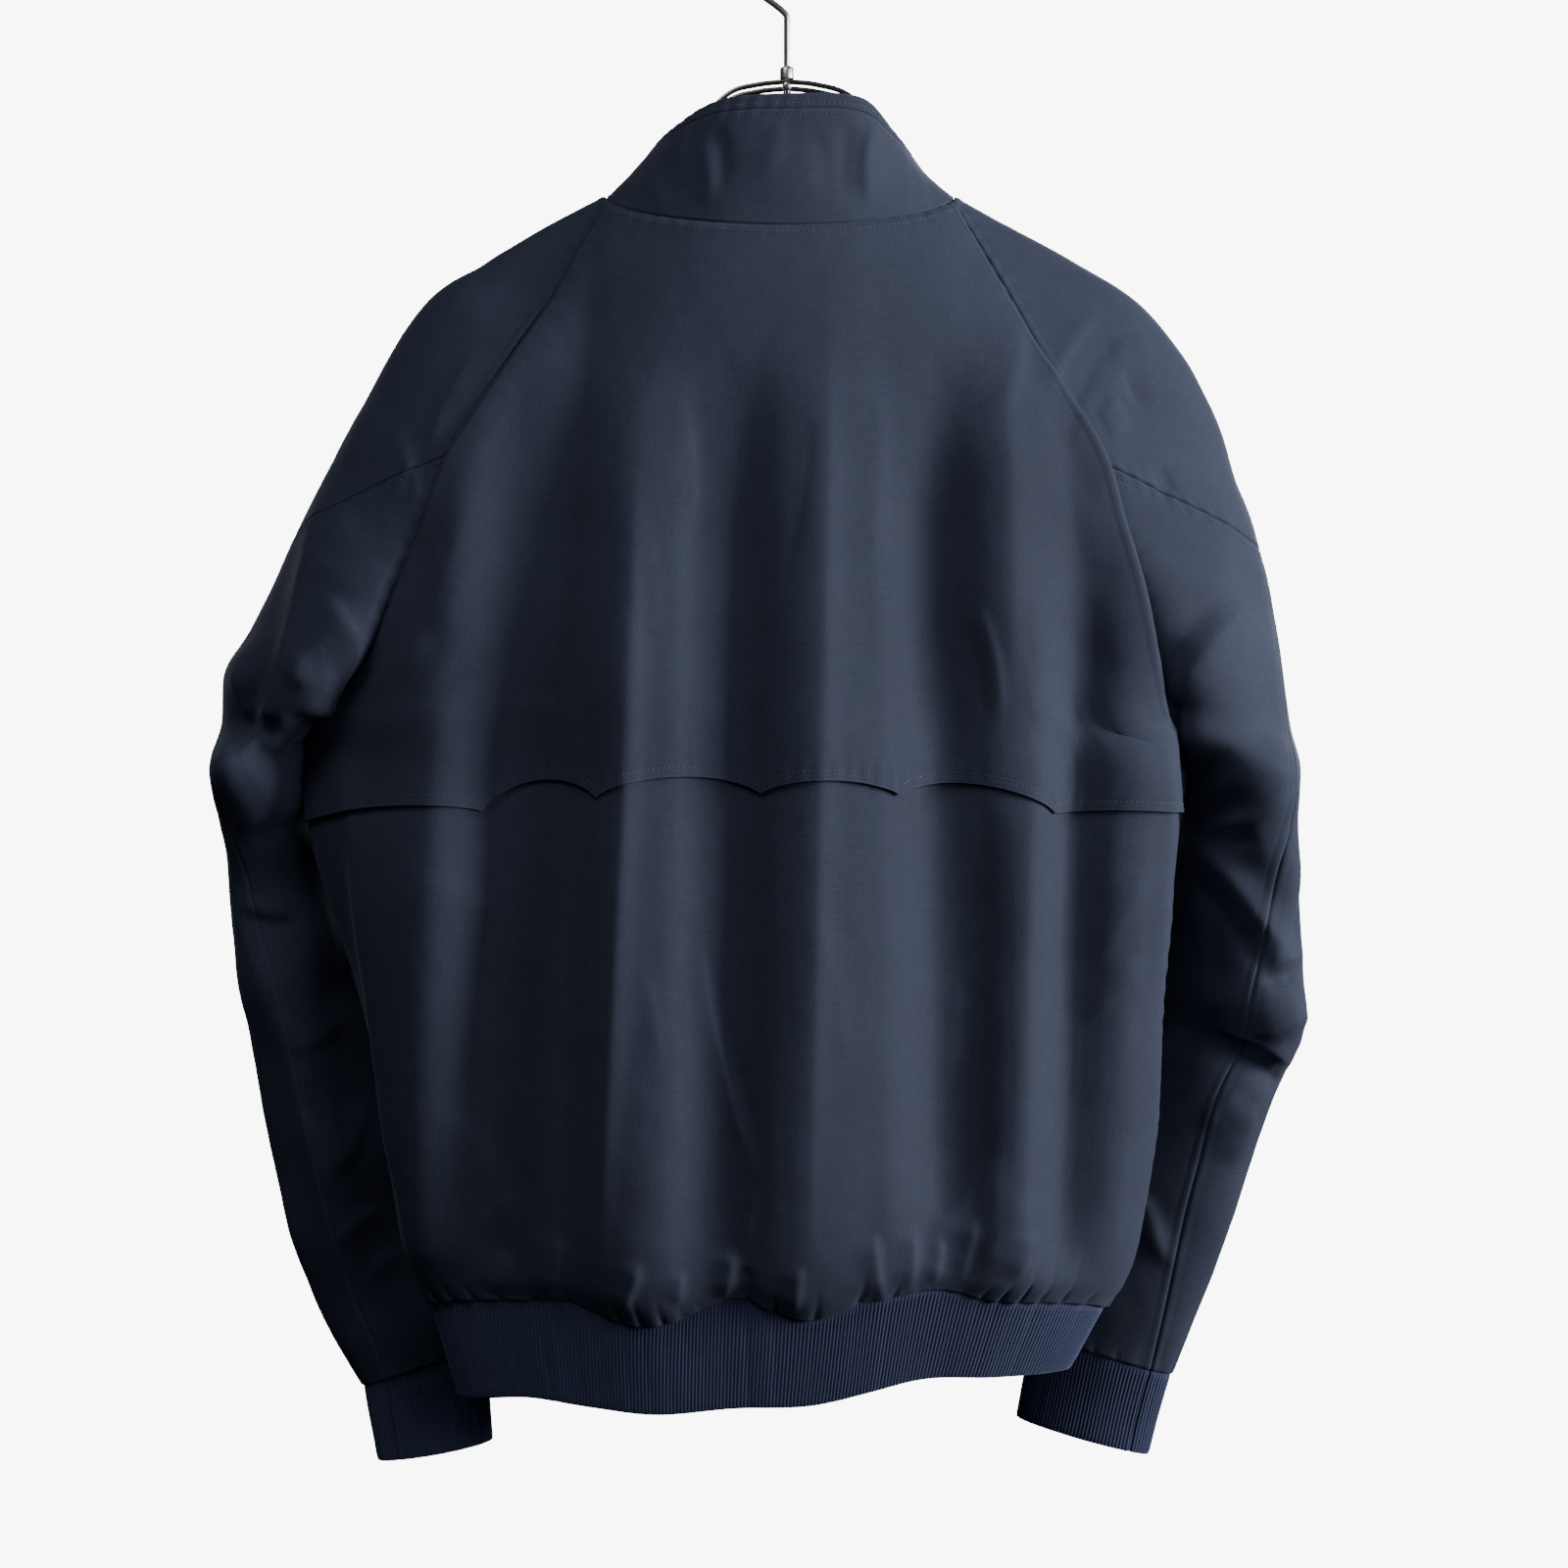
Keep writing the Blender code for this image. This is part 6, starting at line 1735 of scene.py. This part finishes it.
def frame_points():
    """Both wires of the frame as one loop, with a round turn at each end."""
    share = np.linspace(0, len(FRAME["left_x"]) - 1, 70)
    knots = np.arange(len(FRAME["left_x"]))
    left, right = (
        np.column_stack([through(knots, FRAME[side + key], share) for key in ("_x", "_z")])
        for side in ("left", "right")
    )
    line = np.concatenate([left[::-1], right[1:]])
    back_wire = [(x, -FRAME_HALF_DEPTH, z) for x, z in line]
    front_wire = [(x, FRAME_HALF_DEPTH, z) for x, z in line[::-1]]
    ends = []
    for at, before in ((line[-1], line[-2]), (line[0], line[1])):
        way = unit(at - before)
        turn = []
        for angle in np.radians(np.arange(15, 180, 15)):
            out = FRAME_HALF_DEPTH * math.sin(angle)
            deep = -FRAME_HALF_DEPTH * math.cos(angle)
            turn.append((at[0] + way[0] * out, deep, at[1] + way[1] * out))
        ends.append(turn)
    return back_wire + ends[0] + front_wire + ends[1][::-1]


pieces["hanger_hook"] = wire("hook_wire", hook_points(), HOOK_WIRE_R, closed=False)
pieces["hanger_frame"] = wire("frame_wires", frame_points(), FRAME_WIRE_R, closed=True)


def make_ferrule():
    tall = FERRULE_TOP - FERRULE_FOOT
    profile = (
        (0, FERRULE_R - 0.7), (0.15, FERRULE_R - 0.3), (0.5, FERRULE_R), (tall - 1.6, FERRULE_R),
        (tall - 0.9, FERRULE_R - 0.25), (tall - 0.3, FERRULE_R - 1.0), (tall, FERRULE_R - 1.9),
    )
    return lathe("hook_ferrule", profile, (0, 0, FERRULE_FOOT), (0, 0, 1))


def make_bolt():
    """A pin through both wires, with a rounded head at each end."""
    head = (
        (0, 1.2), (0.25, 1.9), (0.8, 2.4), (1.5, BOLT_HEAD_R), (BOLT_HEAD, BOLT_HEAD_R),
        (BOLT_HEAD + 0.01, BOLT_R),
    )
    far_head = tuple((2 * BOLT_HALF - along, radius) for along, radius in head[::-1])
    return lathe("frame_bolt", head + far_head, (0, -BOLT_HALF, BOLT_Z), (0, 1, 0))


pieces["hanger_ferrule"] = make_ferrule()
pieces["hanger_bolt"] = make_bolt()


# ---- Finish, body and node of each piece ----

FINISHES = {
    "rib": (rib_knit, "rib_knit"),
    "cuff": (rib_knit, "rib_knit"),
    "tapes": (tape_cloth, "zip_tape"),
    "chain": (zip_metal, "zip_metal"),
    "slider": (zip_metal, "zip_metal"),
    "pull": (zip_metal, "zip_metal"),
    "frame": (dark_wire, "hanger_wire"),
    "hook": (steel, "hanger_steel"),
    "ferrule": (steel, "hanger_steel"),
    "bolt": (steel, "hanger_steel"),
}
for node, item in pieces.items():
    finish, slot = FINISHES.get(node.split("_")[-1], (shell_cloth, "shell_cloth"))
    dress(item, finish)
    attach(item, "pull_tab" if node == "zip_pull" else "jacket")
    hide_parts(node)
dress(stitches, thread)


# ---- Floor, light and camera ----

def stage_floor():
    across = np.linspace(-FLOOR_HALF, FLOOR_HALF, FLOOR_POINTS)
    grid = np.stack(np.meshgrid(across, across, indexing="ij"), axis=-1).reshape(-1, 2)
    points = np.column_stack([grid, np.full(len(grid), FLOOR_Z)])
    item = new_mesh("studio_floor", points, quads(FLOOR_POINTS, FLOOR_POINTS))
    pale, shader, start = paint("pale_floor", 0.85)
    spot = start.out(start.node("ShaderNodeTexCoord"), "Object")
    mottle = start.out(start.node("ShaderNodeTexNoise", None, Vector=spot, Scale=7.0, Detail=4.0))
    feed(shader, "Base Color", mottle.between((0.80, 0.79, 0.77, 1), (0.86, 0.85, 0.84, 1)))
    item.data.materials.append(pale)


def soft_light(name, place, size, power, colour):
    lamp = bpy.data.lights.new(name, "AREA")
    lamp.shape, lamp.size, lamp.size_y = "RECTANGLE", size[0], size[1]
    lamp.energy, lamp.color = power, colour
    item = bpy.data.objects.new(name, lamp)
    item.location = place
    toward = Vector(LIGHT_AIM) - Vector(place)
    item.rotation_euler = toward.to_track_quat("-Z", "Y").to_euler()
    bpy.context.scene.collection.objects.link(item)


def studio_room():
    """A pale backdrop for the camera, and a dim room for the light that reaches the cloth."""
    world = bpy.data.worlds.new("studio")
    bpy.context.scene.world = world
    world.use_nodes = True
    tree = world.node_tree
    backdrop = tree.nodes["Background"]
    backdrop.inputs["Color"].default_value = (0.96, 0.955, 0.95, 1)
    backdrop.inputs["Strength"].default_value = BACKDROP_STRENGTH
    room = tree.nodes.new("ShaderNodeBackground")
    room.inputs["Color"].default_value = (0.80, 0.88, 1.0, 1)
    room.inputs["Strength"].default_value = ROOM_STRENGTH
    path = tree.nodes.new("ShaderNodeLightPath")
    mixed = tree.nodes.new("ShaderNodeMixShader")
    tree.links.new(path.outputs["Is Camera Ray"], mixed.inputs[0])
    tree.links.new(room.outputs[0], mixed.inputs[1])
    tree.links.new(backdrop.outputs[0], mixed.inputs[2])
    tree.links.new(mixed.outputs[0], tree.nodes["World Output"].inputs["Surface"])


def main_camera():
    lens = bpy.data.cameras.new("camera")
    lens.lens, lens.sensor_width, lens.clip_end = CAMERA_LENS, CAMERA_SENSOR, 60
    camera = bpy.data.objects.new("camera", lens)
    camera.location, camera.rotation_euler = CAMERA_PLACE, (math.radians(90), 0, 0)
    bpy.context.scene.collection.objects.link(camera)
    bpy.context.scene.camera = camera


stage_floor()
for light in LIGHTS:
    soft_light(*light)
studio_room()
main_camera()
